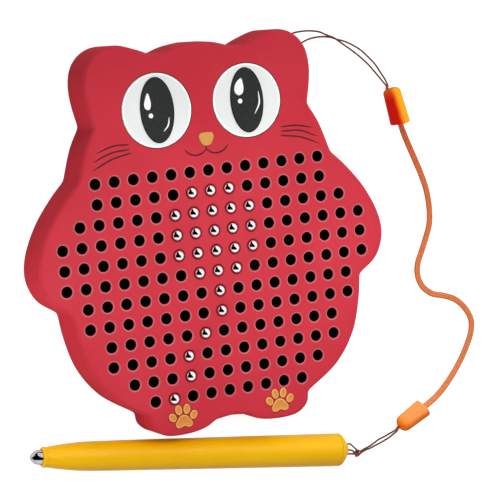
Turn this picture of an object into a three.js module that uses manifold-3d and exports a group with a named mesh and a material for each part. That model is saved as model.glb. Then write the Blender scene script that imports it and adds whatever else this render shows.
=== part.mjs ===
// Magnetic drawing board for a child: a cat-shaped box with a grid of holes, a steel bead under each hole,
// and a pen with a magnet in its nose that pulls the beads up. A pen tether with two clips joins the two.
// Millimetres. +X is the board's right, +Y points to the ears, +Z out of the face. The origin lies on the
// back face under the middle of the grid. The board lies on its back, with the pen and its tether beside it.
import * as THREE from 'three';
import { mergeGeometries, mergeVertices } from 'three/addons/utils/BufferGeometryUtils.js';
import Module from 'manifold-3d';

const wasm = await Module();
wasm.setup();

// Board
const holePitch = 7.5;
const boardThickness = 17.5;
const wall = 1.5;
const facePlate = 2.2;
const edgeRadius = 1.8;
const coverThickness = 2;
const coverGap = 0.3;
const cutOverrun = 1;
const weldTolerance = 0.0001;
const stepsPerSpan = 2;

// Holes and beads
const beadDiameter = 4;
const holeMouthDiameter = 3.8;
const holeTaperDegrees = 12;
const holeSides = 6;
const beadSeatGap = 0.05;
const beadDetail = 1;
const cellWidth = 4.4;
const cellDepth = 7.5;
const trayFloor = 1.5;
const trayGap = 0.25;
const trayMargin = 2.6;

// Screws that hold the cover
const screwShankDiameter = 2.3;
const screwHeadDiameter = 5.2;
const screwHeadHeight = 1.6;
const screwCrownShare = 0.7;
const screwLength = 10;
const screwGap = 0.3;
const screwSides = 8;
const bossWall = 1.6;
const cupWall = 1.1;
const cupFloor = 1.3;
const cupRise = 4;
const ribThickness = 1.2;

// Face
const eyeDiameter = 27.8;
const eyeInlayDepth = 0.7;
const eyeProud = 0.1;
const pupilWidth = 13.4;
const pupilHeight = 24.3;
const inkThickness = 0.25;
const noseWidth = 6;
const noseHeight = 5;
const noseProud = 0.45;
const inlayGap = 0.1;
const pawProud = 0.4;
const reliefRoot = 0.5;
const eyeSides = 30;
const pupilSides = 22;
const pawSides = 7;

// Pen, from the point of the nose to the tether end
const penLength = 131.6;
const penEndDiameter = 12.7;
const penShoulderDiameter = 11.1;
const penShoulderDistance = 22;
const penNoseDiameter = 5.1;
const penNoseLength = 4.7;
const penLipDiameter = 7.7;
const penLipLength = 1.6;
const penWall = 1.5;
const penFit = 0.3;
const penSides = 16;
const noseSides = 12;
const noseShankLength = 6;
const magnetLength = 8;
const magnetGap = 0.3;
const webThickness = 2;
const plugBevelLength = 6.5;
const plugEndDiameter = 6.2;
const plugSpigotLength = 8;
const plugSeamGap = 0.3;
const eyeletSpacing = 3.6;
const eyeletDiameter = 1.7;
const eyeletDepth = 3.2;

// Tether
const cordWidth = 2.4;
const cordThickness = 1.4;
const strandDiameter = 0.7;
const strandSpacing = 0.9;
const tubeSides = 8;
const cordSteps = 30;
const boardLoopSteps = 38;
const penLoopSteps = 18;
const hitchSteps = 10;
const clipLength = 13.8;
const clipWidth = 7.9;
const clipTipWidth = 7.4;
const clipThickness = 4.1;
const clipCornerRadius = 2.4;
const clipSocketDepth = 2;
const clipBevel = 0.45;
const clipCornerSteps = 4;
const ropeGap = 0.35;
const loopPostGap = 0.9;
const notchWidth = 8;
const notchHeight = 3.8;
const socketGap = 0.25;

// Holes in each row from the head down, and the raised beads that draw a balloon, as columns from the middle
const rowCounts = [13, 13, 15, 17, 17, 17, 15, 15, 13, 13, 11, 9];
const raisedColumns = [
  [],
  [-1, 0, 1],
  [-2, -1, 0, 1, 2],
  [-2, -1, 0, 1, 2],
  [-2, -1, 0, 1, 2],
  [-1, 0, 1],
  [0],
  [0],
  [-1],
  [-2],
  [-2],
  [-3],
];

// Half of the board's outline in hole pitches, from the middle of the head to the notch between the feet.
// Each list is one smooth stretch, and the stretches meet at the kinks.
const outlineShares = [
  [[0, 11.87], [1.01, 11.73], [2.2, 11.42], [3.1, 11.74], [4.2, 12.06], [5.01, 11.93], [5.59, 11.52],
    [5.93, 10.95], [6.06, 10.13], [5.98, 9.26], [5.75, 8.21]],
  [[5.75, 8.21], [6.29, 7.22], [6.81, 5.67]],
  [[6.81, 5.67], [7.53, 4.94], [8.53, 3.63], [9.2, 2.13], [9.28, 1.08], [8.83, 0.04], [7.83, -0.71]],
  [[7.83, -0.71], [7.63, -2.03], [7.13, -3.62], [6.09, -5.05], [4.32, -6.25]],
  [[4.32, -6.25], [4.23, -6.78], [3.67, -7.25], [2.4, -7.36], [1.37, -7.18], [0.85, -6.89]],
];
const notchShare = -6.79;

// Places on the board in hole pitches
const eyeShare = [2.42, 8.71];
const pupilShare = [2.41, 8.72];
const noseShare = [0.05, 7.04];
const bossShares = [[4.35, 10.45], [-4.35, 10.45], [2.75, -6.4], [-2.75, -6.4]];
const ribShares = { along: [-4.5, 0, 4.5], across: [-3, 0.5, 4], reachX: 5.6, reachY: 5.2 };
const notchCentreShare = [5.75, 11.2];
const pawPadShare = { centre: [2.63, -6.68], half: [0.47, 0.32] };
const pawToeShares = [
  { centre: [2.08, -6.42], half: [0.17, 0.22], turn: 35 },
  { centre: [2.42, -6.09], half: [0.18, 0.25], turn: 10 },
  { centre: [2.86, -6.09], half: [0.18, 0.25], turn: -10 },
  { centre: [3.21, -6.42], half: [0.17, 0.22], turn: -35 },
];

// Places beside the board in hole pitches: the pen's tether end, the two clips at the end that holds the
// cord, and the routes of the cord and the thin loops. A third number is how far the underside of the cord
// lies above the table, in hole pitches too.
const penPlace = { end: [7.14, -9.91], heading: -8.06 };
const upperClip = { cordEnd: [11.83, 6.58], heading: 100.4, roll: -75.5 };
const lowerClip = { cordEnd: [11.63, -8.49], heading: 207.2, roll: 53.5 };
const cordRoute = [
  [12.19, 5.55, 0.25], [12.61, 4.62, 0.1], [12.98, 3.69, 0.02], [13.21, 2.85, 0.01],
  [13.29, 1.87, 0.01], [13.21, 1.07, 0.01], [12.9, 0.29, 0.01], [12.61, -0.32, 0.01], [12.31, -0.96, 0.01],
  [12.25, -1.54, 0.01], [12.47, -2.16, 0.01], [13.0, -2.62, 0.01], [13.75, -2.85, 0.01], [14.39, -3.15, 0.01],
  [14.92, -3.7, 0.01], [15.2, -4.34, 0.01], [15.14, -4.93, 0.01], [14.81, -5.65, 0.01], [14.24, -6.5, 0.04],
  [13.47, -7.32, 0.15], [12.67, -7.95, 0.29],
];
const boardLoopOut = [
  [11.2, 8.95, 0.3], [10.7, 9.5, 0.12], [10.14, 10.02, 0.02], [9.49, 10.6, 0.01], [8.84, 11.13, 0.01],
  [8.4, 11.42, 0.01], [7.91, 11.66, 0.01], [7.4, 11.79, 0.03], [6.9, 11.8, 0.1], [6.35, 11.73, 0.22],
  [5.75, 11.55, 0.31], [5.15, 11.3, 0.38],
];
const boardLoopBack = [
  [5.4, 10.5, 0.38], [6.05, 10.93, 0.31], [6.5, 11.12, 0.22], [6.95, 11.25, 0.1], [7.43, 11.35, 0.02],
  [7.91, 11.38, 0.01], [8.3, 11.33, 0.06], [8.66, 11.23, 0.15], [9.05, 11.1, 0.07], [9.51, 10.87, 0.01],
  [9.9, 10.64, 0.01], [10.67, 9.86, 0.1], [11.2, 9.2, 0.26],
];
const penLoopOut = [[9.72, -9.5, 0.31], [9.29, -9.73, 0.1], [8.84, -9.93, 0.02], [8.42, -10.09, 0.04]];
const penLoopTurn = { centre: [7.98, -10.24, 0.17], radiusShare: 0.17 };
const penLoopBack = [[8.5, -10.22, 0.04], [9.05, -10.06, 0.02], [9.42, -9.89, 0.09], [9.78, -9.66, 0.28]];
const knotShare = [7.67, -10.22, 0.21];
const boardTurnDegrees = [105, 135, 165, 195, 225, 255, 285, 310];
const penTurnDegrees = [90, 135, 180, 225, 270];

// Worked out from the sizes above
const beadRadius = beadDiameter / 2;
const holeTaper = THREE.MathUtils.degToRad(holeTaperDegrees);
const seatRadius = (beadRadius + beadSeatGap) / Math.cos(holeTaper);
const raisedBeadZ = boardThickness - (seatRadius - holeMouthDiameter / 2) / Math.tan(holeTaper);
const plateUnderside = boardThickness - facePlate;
const trayTop = plateUnderside - coverGap;
const trayBottom = trayTop - cellDepth - trayFloor;
const loweredBeadZ = trayTop - cellDepth + beadSeatGap + beadRadius;
const bossRadius = screwShankDiameter / 2 + screwGap + bossWall;
const cupRadius = screwHeadDiameter / 2 + screwGap + cupWall;
const screwSeat = cupRise - cupFloor - inlayGap;
const strandRadius = strandDiameter / 2;
const loopHeight = cupRise + ropeGap + strandRadius;

const colours = {
  shell: { color: 0xc8323f, roughness: 0.55, metalness: 0 },
  tray: { color: 0x121212, roughness: 0.7, metalness: 0 },
  steel: { color: 0xd8d8da, roughness: 0.15, metalness: 1 },
  eyeWhite: { color: 0xf2f2f0, roughness: 0.5, metalness: 0 },
  pupil: { color: 0x2c2e2d, roughness: 0.8, metalness: 0 },
  tan: { color: 0xdc9440, roughness: 0.6, metalness: 0 },
  screw: { color: 0x8f9194, roughness: 0.35, metalness: 1 },
  pen: { color: 0xf2b50f, roughness: 0.4, metalness: 0 },
  magnet: { color: 0x77797c, roughness: 0.4, metalness: 1 },
  cord: { color: 0xe8743a, roughness: 0.8, metalness: 0 },
  strand: { color: 0x7a3a28, roughness: 0.8, metalness: 0 },
  clip: { color: 0xff7a1c, roughness: 0.4, metalness: 0 },
};

function solidOf(geometry) {
  const merged = mergeVertices(gathered([geometry]), weldTolerance);
  return new wasm.Manifold(new wasm.Mesh({
    numProp: 3,
    vertProperties: new Float32Array(merged.attributes.position.array),
    triVerts: new Uint32Array(merged.index.array),
  }));
}

// One geometry from several separate ones
function gathered(geometries) {
  return mergeGeometries(geometries.map((geometry) => {
    const loose = geometry.index ? geometry.toNonIndexed() : geometry.clone();
    loose.deleteAttribute('normal');
    loose.deleteAttribute('uv');
    return loose;
  }));
}

function geometryOf(solid) {
  const mesh = solid.getMesh();
  const geometry = new THREE.BufferGeometry();
  geometry.setAttribute('position', new THREE.BufferAttribute(mesh.vertProperties, 3));
  geometry.setIndex(new THREE.BufferAttribute(mesh.triVerts, 1));
  return geometry;
}

function inPitches(share) {
  return new THREE.Vector3(share[0], share[1], share[2] ?? 0).multiplyScalar(holePitch);
}

// A point of a cord's route, in the middle of the cord
function onRoute(share, thickness) {
  const point = inPitches(share);
  point.z += thickness / 2;
  return point;
}

// The whole outline, anticlockwise seen from the front, starting at the middle of the head
function boardOutline() {
  const half = [];
  for (const stretch of outlineShares) {
    const curve = new THREE.CatmullRomCurve3(stretch.map(inPitches), false, 'centripetal');
    const points = curve.getPoints(stepsPerSpan * (stretch.length - 1));
    half.push(...points.slice(half.length ? 1 : 0));
  }
  const right = half.map((point) => new THREE.Vector2(point.x, point.y));
  const notch = new THREE.Vector2(0, notchShare * holePitch);
  const left = right.slice(1).map((point) => new THREE.Vector2(-point.x, point.y));
  return [right[0], ...left, notch, ...right.slice(1).reverse()];
}

// Moves each corner of a closed outline inwards along its bisector, and drops corners that would fold back
function insetOutline(points, distance, clean) {
  const count = points.length;
  const moved = points.map((point, index) => {
    const before = points[(index + count - 1) % count];
    const after = points[(index + 1) % count];
    const first = point.clone().sub(before).normalize();
    const second = after.clone().sub(point).normalize();
    const bisector = new THREE.Vector2(-first.y - second.y, first.x + second.x);
    return point.clone().addScaledVector(bisector, distance / (1 + first.dot(second)));
  });
  if (!clean) {
    return moved;
  }
  return moved.filter((point, index) => {
    const before = (index + count - 1) % count;
    const run = points[index].clone().sub(points[before]);
    return point.clone().sub(moved[before]).dot(run) > 0;
  });
}

function prism(points, bottom, top) {
  const settings = { depth: top - bottom, bevelEnabled: false };
  return new THREE.ExtrudeGeometry(new THREE.Shape(points), settings).translate(0, 0, bottom);
}

// A closed skin over rings of equally many points, each ring at its own height, with a cap at both ends
function loft(rings) {
  const count = rings[0].points.length;
  const positions = [];
  const indices = [];
  for (const ring of rings) {
    ring.points.forEach((point) => positions.push(point.x, point.y, ring.z));
  }
  for (let ring = 0; ring + 1 < rings.length; ring += 1) {
    for (let index = 0; index < count; index += 1) {
      const next = (index + 1) % count;
      const low = ring * count;
      const high = low + count;
      indices.push(low + index, low + next, high + next, low + index, high + next, high + index);
    }
  }
  const topStart = (rings.length - 1) * count;
  THREE.ShapeUtils.triangulateShape(rings[0].points, []).forEach(([a, b, c]) => indices.push(a, c, b));
  THREE.ShapeUtils.triangulateShape(rings[rings.length - 1].points, []).forEach(([a, b, c]) => {
    indices.push(topStart + a, topStart + b, topStart + c);
  });
  const geometry = new THREE.BufferGeometry();
  geometry.setAttribute('position', new THREE.Float32BufferAttribute(positions, 3));
  geometry.setIndex(indices);
  return geometry;
}

// An upright round bar or taper between two heights
function upright(radiusBottom, radiusTop, bottom, top, sides, place) {
  const geometry = new THREE.CylinderGeometry(radiusTop, radiusBottom, top - bottom, sides);
  geometry.rotateX(Math.PI / 2).rotateZ(Math.PI / sides);
  return geometry.translate(place.x, place.y, (bottom + top) / 2);
}

function box(width, depth, bottom, top, place) {
  return new THREE.BoxGeometry(width, depth, top - bottom).translate(place.x, place.y, (bottom + top) / 2);
}

// A revolved piece: the profile runs from the axis to the axis, and its length lies along +X
function revolve(profile, sides) {
  const points = profile.map(([along, radius]) => new THREE.Vector2(radius, along));
  return new THREE.LatheGeometry(points, sides).rotateZ(-Math.PI / 2);
}

// A tube with an oval section along a route
function tube(points, width, thickness, steps) {
  const section = new THREE.Shape();
  for (let side = 0; side < tubeSides; side += 1) {
    const angle = (2 * Math.PI * (side + 0.5)) / tubeSides;
    const x = (Math.cos(angle) * thickness) / 2;
    const y = (Math.sin(angle) * width) / 2;
    if (side === 0) {
      section.moveTo(x, y);
    } else {
      section.lineTo(x, y);
    }
  }
  const path = new THREE.CatmullRomCurve3(points, false, 'centripetal');
  return new THREE.ExtrudeGeometry(section, { steps, bevelEnabled: false, extrudePath: path });
}

// Every hole of the grid with its row, its column from the middle and its place
function gridPlaces() {
  const places = [];
  rowCounts.forEach((holes, row) => {
    const reach = (holes - 1) / 2;
    const y = ((rowCounts.length - 1) / 2 - row) * holePitch;
    for (let column = -reach; column <= reach; column += 1) {
      places.push({ row, column, x: column * holePitch, y });
    }
  });
  return places;
}

const outline = boardOutline();
const holes = gridPlaces();
const board = new THREE.Group();

function addPiece(name, geometry, colour, parent = board) {
  const merged = mergeVertices(gathered([geometry]), weldTolerance);
  merged.computeVertexNormals();
  const mesh = new THREE.Mesh(merged, new THREE.MeshStandardMaterial(colour));
  mesh.name = name;
  parent.add(mesh);
  return mesh;
}

// The front shell: face plate and side wall in one moulding, open at the back
function frontShell() {
  const rings = [{ points: outline, z: 0 }];
  for (const turn of [0, Math.PI / 4, Math.PI / 2]) {
    const inset = edgeRadius * (1 - Math.cos(turn));
    rings.push({
      points: insetOutline(outline, inset, false),
      z: boardThickness - edgeRadius * (1 - Math.sin(turn)),
    });
  }
  let solid = solidOf(loft(rings));
  const hollow = prism(insetOutline(outline, wall, true), -cutOverrun, plateUnderside);
  solid = solid.subtract(solidOf(hollow));
  const bosses = bossShares.map((share) => {
    const bottom = cupRise + screwGap;
    return upright(bossRadius, bossRadius, bottom, plateUnderside + reliefRoot, screwSides, inPitches(share));
  });
  solid = solid.add(solidOf(gathered(bosses.concat(pawReliefs()))));
  const slope = Math.tan(holeTaper);
  const flat = 1 / Math.cos(Math.PI / holeSides);
  const mouth = holeMouthDiameter / 2;
  const cutters = holes.map((hole) => {
    const low = flat * (mouth + slope * (facePlate + cutOverrun));
    const high = flat * (mouth - slope * cutOverrun);
    return upright(low, high, plateUnderside - cutOverrun, boardThickness + cutOverrun, holeSides, hole);
  });
  for (const share of bossShares) {
    const radius = screwShankDiameter / 2 + screwGap;
    const pilotTop = screwSeat + screwLength + screwGap;
    cutters.push(upright(radius, radius, cupRise, pilotTop, screwSides, inPitches(share)));
  }
  for (const side of [-1, 1]) {
    const radius = eyeDiameter / 2 + inlayGap;
    const floor = boardThickness - eyeInlayDepth;
    const centre = inPitches([side * eyeShare[0], eyeShare[1]]);
    cutters.push(upright(radius, radius, floor, boardThickness + cutOverrun, eyeSides, centre));
  }
  cutters.push(prism(noseOutline(inlayGap), boardThickness - eyeInlayDepth, boardThickness + cutOverrun));
  solid = solid.subtract(solidOf(gathered(cutters)));
  return geometryOf(solid.subtract(solidOf(tetherNotch())));
}

// The notch in the right ear's wall where the thin loop comes out
function tetherNotch() {
  const centre = inPitches(notchCentreShare);
  const post = inPitches(bossShares[0]);
  const notch = new THREE.BoxGeometry(2 * (wall + cutOverrun), notchWidth, notchHeight + cutOverrun);
  notch.translate(0, 0, (notchHeight - cutOverrun) / 2);
  notch.rotateZ(Math.atan2(centre.y - post.y, centre.x - post.x));
  return notch.translate(centre.x, centre.y, 0);
}

// Paw prints moulded on the feet: a broad pad and four toes, with a smaller top than foot
function pawReliefs() {
  const reliefs = [];
  const lift = reliefRoot + pawProud;
  for (const side of [-1, 1]) {
    for (const { centre, half, turn } of [{ ...pawPadShare, turn: 0 }, ...pawToeShares]) {
      const geometry = new THREE.CylinderGeometry(1 - pawProud / holePitch, 1, lift, pawSides);
      geometry.rotateX(Math.PI / 2);
      geometry.scale(half[0] * holePitch, half[1] * holePitch, 1);
      geometry.rotateZ(THREE.MathUtils.degToRad(side * turn));
      const place = inPitches([side * centre[0], centre[1]]);
      reliefs.push(geometry.translate(place.x, place.y, boardThickness + pawProud - lift / 2));
    }
  }
  return reliefs;
}

// The nose is a shield: a flat top, full sides and a narrow round bottom
function noseOutline(grow) {
  const centre = inPitches(noseShare);
  const halfWidth = noseWidth / 2 + grow;
  const halfHeight = noseHeight / 2 + grow;
  const shares = [[0, -1], [0.42, -0.88], [0.75, -0.45], [0.98, 0.3], [0.86, 0.86], [0.5, 1], [0, 1]];
  const left = shares.slice(1, -1).reverse().map(([x, y]) => [-x, y]);
  return shares.concat(left).map(([x, y]) => {
    return new THREE.Vector2(centre.x + x * halfWidth, centre.y + y * halfHeight);
  });
}

// The tray: a block with one square blind cell under each hole
function beadTray() {
  const inside = insetOutline(outline, wall + trayGap, true);
  const reachY = ((rowCounts.length - 1) / 2) * holePitch + trayMargin;
  const width = 2 * Math.max(...inside.map((point) => point.x)) + cutOverrun;
  const band = box(width, 2 * reachY, trayBottom - cutOverrun, trayTop + cutOverrun, new THREE.Vector3());
  const cellFloor = trayTop - cellDepth;
  const cells = holes.map((hole) => box(cellWidth, cellWidth, cellFloor, trayTop + cutOverrun, hole));
  const block = solidOf(prism(inside, trayBottom, trayTop)).intersect(solidOf(band));
  return geometryOf(block.subtract(solidOf(gathered(cells))));
}

// The rear cover: a plate inside the wall, with ribs that carry the tray and a cup round each screw
function rearCover() {
  let solid = solidOf(prism(insetOutline(outline, wall + coverGap, true), 0, coverThickness));
  const ribTop = trayBottom - coverGap;
  const ribBottom = coverThickness / 2;
  for (const share of ribShares.along) {
    const place = inPitches([share, ribShares.across[1]]);
    solid = solid.add(solidOf(box(ribThickness, 2 * ribShares.reachY * holePitch, ribBottom, ribTop, place)));
  }
  for (const share of ribShares.across) {
    const place = inPitches([0, share]);
    solid = solid.add(solidOf(box(2 * ribShares.reachX * holePitch, ribThickness, ribBottom, ribTop, place)));
  }
  for (const share of bossShares) {
    const place = inPitches(share);
    const headRadius = screwHeadDiameter / 2 + screwGap;
    const shankRadius = screwShankDiameter / 2 + screwGap;
    const floor = cupRise - cupFloor;
    const cup = upright(cupRadius, cupRadius, ribBottom, cupRise, screwSides, place);
    const headRoom = upright(headRadius, headRadius, -cutOverrun, floor, screwSides, place);
    const shankHole = upright(shankRadius, shankRadius, 0, cupRise + cutOverrun, screwSides, place);
    solid = solid.add(solidOf(cup)).subtract(solidOf(headRoom)).subtract(solidOf(shankHole));
  }
  return geometryOf(solid);
}

// A pan-head screw, head down, whose shank reaches up into a boss
function coverScrew(share) {
  const head = screwHeadDiameter / 2;
  const shank = screwShankDiameter / 2;
  const base = screwSeat - screwHeadHeight;
  const tip = screwSeat + screwLength;
  const profile = [[base, 0], [base, head * screwCrownShare], [base + screwHeadHeight / 2, head],
    [screwSeat, head], [screwSeat, shank], [tip - shank, shank], [tip, 0]];
  const geometry = revolve(profile, screwSides).rotateY(-Math.PI / 2);
  const place = inPitches(share);
  return geometry.translate(place.x, place.y, 0);
}

addPiece('front_shell', frontShell(), colours.shell);
addPiece('rear_cover', rearCover(), colours.shell);
addPiece('bead_tray', beadTray(), colours.tray);
bossShares.forEach((share, index) => {
  addPiece(`cover_screw_${index + 1}`, coverScrew(share), colours.screw);
});

// Face: white discs let into the face plate, oval pupils on them, and the nose
for (const [side, word] of [[-1, 'left'], [1, 'right']]) {
  const eyeTop = boardThickness + eyeProud;
  const eyeCentre = inPitches([side * eyeShare[0], eyeShare[1]]);
  const eyeBottom = boardThickness - eyeInlayDepth + inlayGap;
  const disc = upright(eyeDiameter / 2, eyeDiameter / 2, eyeBottom, eyeTop, eyeSides, eyeCentre);
  addPiece(`eye_white_${word}`, disc, colours.eyeWhite);
  const pupil = new THREE.CylinderGeometry(1, 1, inkThickness, pupilSides).rotateX(Math.PI / 2);
  pupil.scale(pupilWidth / 2, pupilHeight / 2, 1);
  const pupilCentre = inPitches([side * pupilShare[0], pupilShare[1]]);
  pupil.translate(pupilCentre.x, pupilCentre.y, eyeTop + inlayGap + inkThickness / 2);
  addPiece(`pupil_${word}`, pupil, colours.pupil);
}
const noseBottom = boardThickness - eyeInlayDepth + inlayGap;
addPiece('nose', prism(noseOutline(0), noseBottom, boardThickness + noseProud), colours.tan);

// Beads: every raised one, and the whole bottom row
const columnOffset = (Math.max(...rowCounts) + 1) / 2;
for (const { row, column, x, y } of holes) {
  const raised = raisedColumns[row].includes(column);
  if (raised || row === rowCounts.length - 1) {
    const [rowWord, columnWord] = [row + 1, column + columnOffset].map((at) => String(at).padStart(2, '0'));
    const name = `bead_r${rowWord}_c${columnWord}`;
    const bead = addPiece(name, new THREE.IcosahedronGeometry(beadRadius, beadDetail), colours.steel);
    bead.position.set(x, y, raised ? raisedBeadZ : loweredBeadZ);
  }
}

// Pen. It lies on the straight cone between its shoulder and its end, so its axis tilts by the cone's angle.
const penSeam = penLength - plugBevelLength;
const penSlope = (penEndDiameter - penShoulderDiameter) / 2 / (penSeam - penShoulderDistance);
const penTilt = Math.atan(penSlope);

function penRadius(along) {
  return penEndDiameter / 2 - (penSeam - along) * penSlope;
}

const penTurn = new THREE.Group();
penTurn.rotation.z = THREE.MathUtils.degToRad(penPlace.heading);
penTurn.position.copy(inPitches(penPlace.end));
const pen = new THREE.Group();
pen.rotation.y = -penTilt;
pen.position.z = penRadius(penLength) * Math.cos(penTilt);
penTurn.add(pen);
board.add(penTurn);
penTurn.updateMatrixWorld(true);

// Pieces of the pen are drawn from the nose along +X and moved so that the tether end lies at the group's origin
function addPenPiece(name, geometry, colour) {
  addPiece(name, geometry.translate(-penLength, 0, 0), colour, pen);
}

function penPoint(along, across, up) {
  return pen.localToWorld(new THREE.Vector3(along - penLength, across, up));
}

// The chrome nose: a short point that swells to a round bullet, on a shank in the barrel's front bore
function penNose() {
  const radius = penNoseDiameter / 2;
  const shares = [[0, 0], [0.04, 0.16], [0.22, 0.5], [0.46, 0.83], [0.72, 0.98], [1, 1]];
  const profile = shares.map(([along, across]) => [along * penNoseLength, across * radius]);
  const shank = radius - penFit / 2;
  const end = penNoseLength + noseShankLength;
  profile.push([penNoseLength, shank], [end, shank], [end, 0]);
  return revolve(profile, noseSides);
}

const boreRadius = penNoseDiameter / 2 + penFit / 2;
const magnetStart = penNoseLength + noseShankLength + magnetGap;
const boreEnd = magnetStart + magnetLength + magnetGap;

function penMagnet() {
  const radius = penNoseDiameter / 2 - penFit / 2;
  return revolve([[magnetStart, 0], [magnetStart, radius], [magnetStart + magnetLength, radius],
    [magnetStart + magnetLength, 0]], noseSides);
}

function penBarrel() {
  const lip = penLipDiameter / 2;
  const front = penNoseLength;
  const shoulder = penRadius(penShoulderDistance);
  const taperShares = [[0.18, 0.33], [0.4, 0.62], [0.66, 0.85]];
  const taperStart = front + penLipLength;
  const outer = [[front, lip - penLipLength / 3], [front + penLipLength / 3, lip], [taperStart, lip]];
  for (const [along, across] of taperShares) {
    const reach = penShoulderDistance - taperStart;
    outer.push([taperStart + along * reach, lip + across * (shoulder - lip)]);
  }
  outer.push([penShoulderDistance, shoulder], [penSeam - plugSeamGap, penRadius(penSeam - plugSeamGap)]);
  const hollowStart = boreEnd + webThickness;
  const end = penSeam - plugSeamGap;
  const inner = [[end, penRadius(end) - penWall], [hollowStart, penRadius(hollowStart) - 2 * penWall],
    [hollowStart, 0], [boreEnd, 0], [boreEnd, boreRadius], [front, boreRadius]];
  return revolve([...outer, ...inner, outer[0]], penSides);
}

// The end plug: a spigot in the barrel, a bevelled head, and two eyelets joined behind a bar for the tether
function penEndPlug() {
  const head = penEndDiameter / 2;
  const end = plugEndDiameter / 2;
  const spigotStart = penSeam - plugSpigotLength;
  const spigot = penRadius(spigotStart) - 2 * penWall;
  const roundShares = [[0.1, 0.97], [0.3, 0.8], [0.88, 0.16], [1, 0]];
  const profile = [[spigotStart, 0], [spigotStart, spigot], [penSeam, spigot], [penSeam, head]];
  for (const [along, across] of roundShares) {
    profile.push([penSeam + along * plugBevelLength, end + across * (head - end)]);
  }
  profile.push([penLength, 0]);
  let solid = solidOf(revolve(profile, penSides));
  for (const side of [-1, 1]) {
    const radius = eyeletDiameter / 2;
    const eyelet = new THREE.CylinderGeometry(radius, radius, eyeletDepth + cutOverrun, tubeSides);
    eyelet.rotateZ(Math.PI / 2);
    eyelet.translate(penLength + (cutOverrun - eyeletDepth) / 2, (side * eyeletSpacing) / 2, 0);
    solid = solid.subtract(solidOf(eyelet));
  }
  const cross = new THREE.BoxGeometry(eyeletDiameter, eyeletSpacing, eyeletDiameter);
  cross.translate(penLength - eyeletDepth + eyeletDiameter / 2, 0, 0);
  return geometryOf(solid.subtract(solidOf(cross)));
}

addPenPiece('pen_tip', penNose(), colours.steel);
addPenPiece('pen_magnet', penMagnet(), colours.magnet);
addPenPiece('pen_barrel', penBarrel(), colours.pen);
addPenPiece('pen_end_plug', penEndPlug(), colours.pen);

// Clips. Each leans on one long edge. A clip's own +X runs from the end that holds the cord to the tip
// where the thin loop comes out.
function clipGroup(place) {
  const turn = new THREE.Group();
  turn.position.copy(inPitches(place.cordEnd));
  turn.rotation.z = THREE.MathUtils.degToRad(place.heading);
  const roll = new THREE.Group();
  roll.rotation.x = THREE.MathUtils.degToRad(place.roll);
  const lean = Math.abs(roll.rotation.x);
  roll.position.z = (clipWidth * Math.sin(lean) + clipThickness * Math.cos(lean)) / 2;
  turn.add(roll);
  board.add(turn);
  turn.updateMatrixWorld(true);
  return roll;
}

// A clip is flat where the cord goes in and round at its tip, and it has a socket for the cord
function clipBody() {
  const half = clipWidth / 2 - clipBevel;
  const tip = clipTipWidth / 2 - clipBevel;
  const end = clipLength - clipBevel;
  const shape = new THREE.Shape();
  shape.moveTo(clipBevel, -half);
  shape.lineTo(end - clipCornerRadius, -tip);
  shape.quadraticCurveTo(end, -tip, end, clipCornerRadius - tip);
  shape.lineTo(end, tip - clipCornerRadius);
  shape.quadraticCurveTo(end, tip, end - clipCornerRadius, tip);
  shape.lineTo(clipBevel, half);
  const geometry = new THREE.ExtrudeGeometry(shape, {
    depth: clipThickness - 2 * clipBevel,
    bevelSize: clipBevel,
    bevelThickness: clipBevel,
    bevelSegments: 1,
    curveSegments: clipCornerSteps,
  });
  geometry.translate(0, 0, clipBevel - clipThickness / 2);
  const radius = cordWidth / 2 + socketGap;
  const socket = new THREE.CylinderGeometry(radius, radius, 2 * clipSocketDepth, tubeSides).rotateZ(Math.PI / 2);
  return geometryOf(solidOf(geometry).subtract(solidOf(socket)));
}

const upperClipGroup = clipGroup(upperClip);
const lowerClipGroup = clipGroup(lowerClip);
addPiece('cord_clip_upper', clipBody(), colours.clip, upperClipGroup);
addPiece('cord_clip_lower', clipBody(), colours.clip, lowerClipGroup);

// The main cord runs from socket to socket
function clipPoint(group, along, across) {
  return group.localToWorld(new THREE.Vector3(along, across, 0));
}

const cordInset = clipSocketDepth - ropeGap;
const cordPoints = [
  clipPoint(upperClipGroup, cordInset, 0),
  clipPoint(upperClipGroup, -clipSocketDepth / 2, 0),
  ...cordRoute.map((share) => onRoute(share, cordThickness)),
  clipPoint(lowerClipGroup, -clipSocketDepth / 2, 0),
  clipPoint(lowerClipGroup, cordInset, 0),
];
addPiece('tether_cord', tube(cordPoints, cordWidth, cordThickness, cordSteps), colours.cord);

// The board's loop leaves the upper clip, enters the notch in the ear, turns round the ear's screw boss
// above the cover and comes back to the clip.
function boardLoop() {
  const post = inPitches(bossShares[0]);
  const radius = bossRadius + loopPostGap + strandRadius;
  const turn = [];
  for (const degrees of boardTurnDegrees) {
    const angle = THREE.MathUtils.degToRad(degrees);
    turn.push(new THREE.Vector3(post.x + radius * Math.cos(angle), post.y + radius * Math.sin(angle), loopHeight));
  }
  const reach = clipLength + ropeGap;
  return [
    clipPoint(upperClipGroup, reach, -strandSpacing / 2),
    ...boardLoopOut.map((share) => onRoute(share, strandDiameter)),
    ...turn,
    ...boardLoopBack.map((share) => onRoute(share, strandDiameter)),
    clipPoint(upperClipGroup, reach, strandSpacing / 2),
  ];
}

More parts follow.
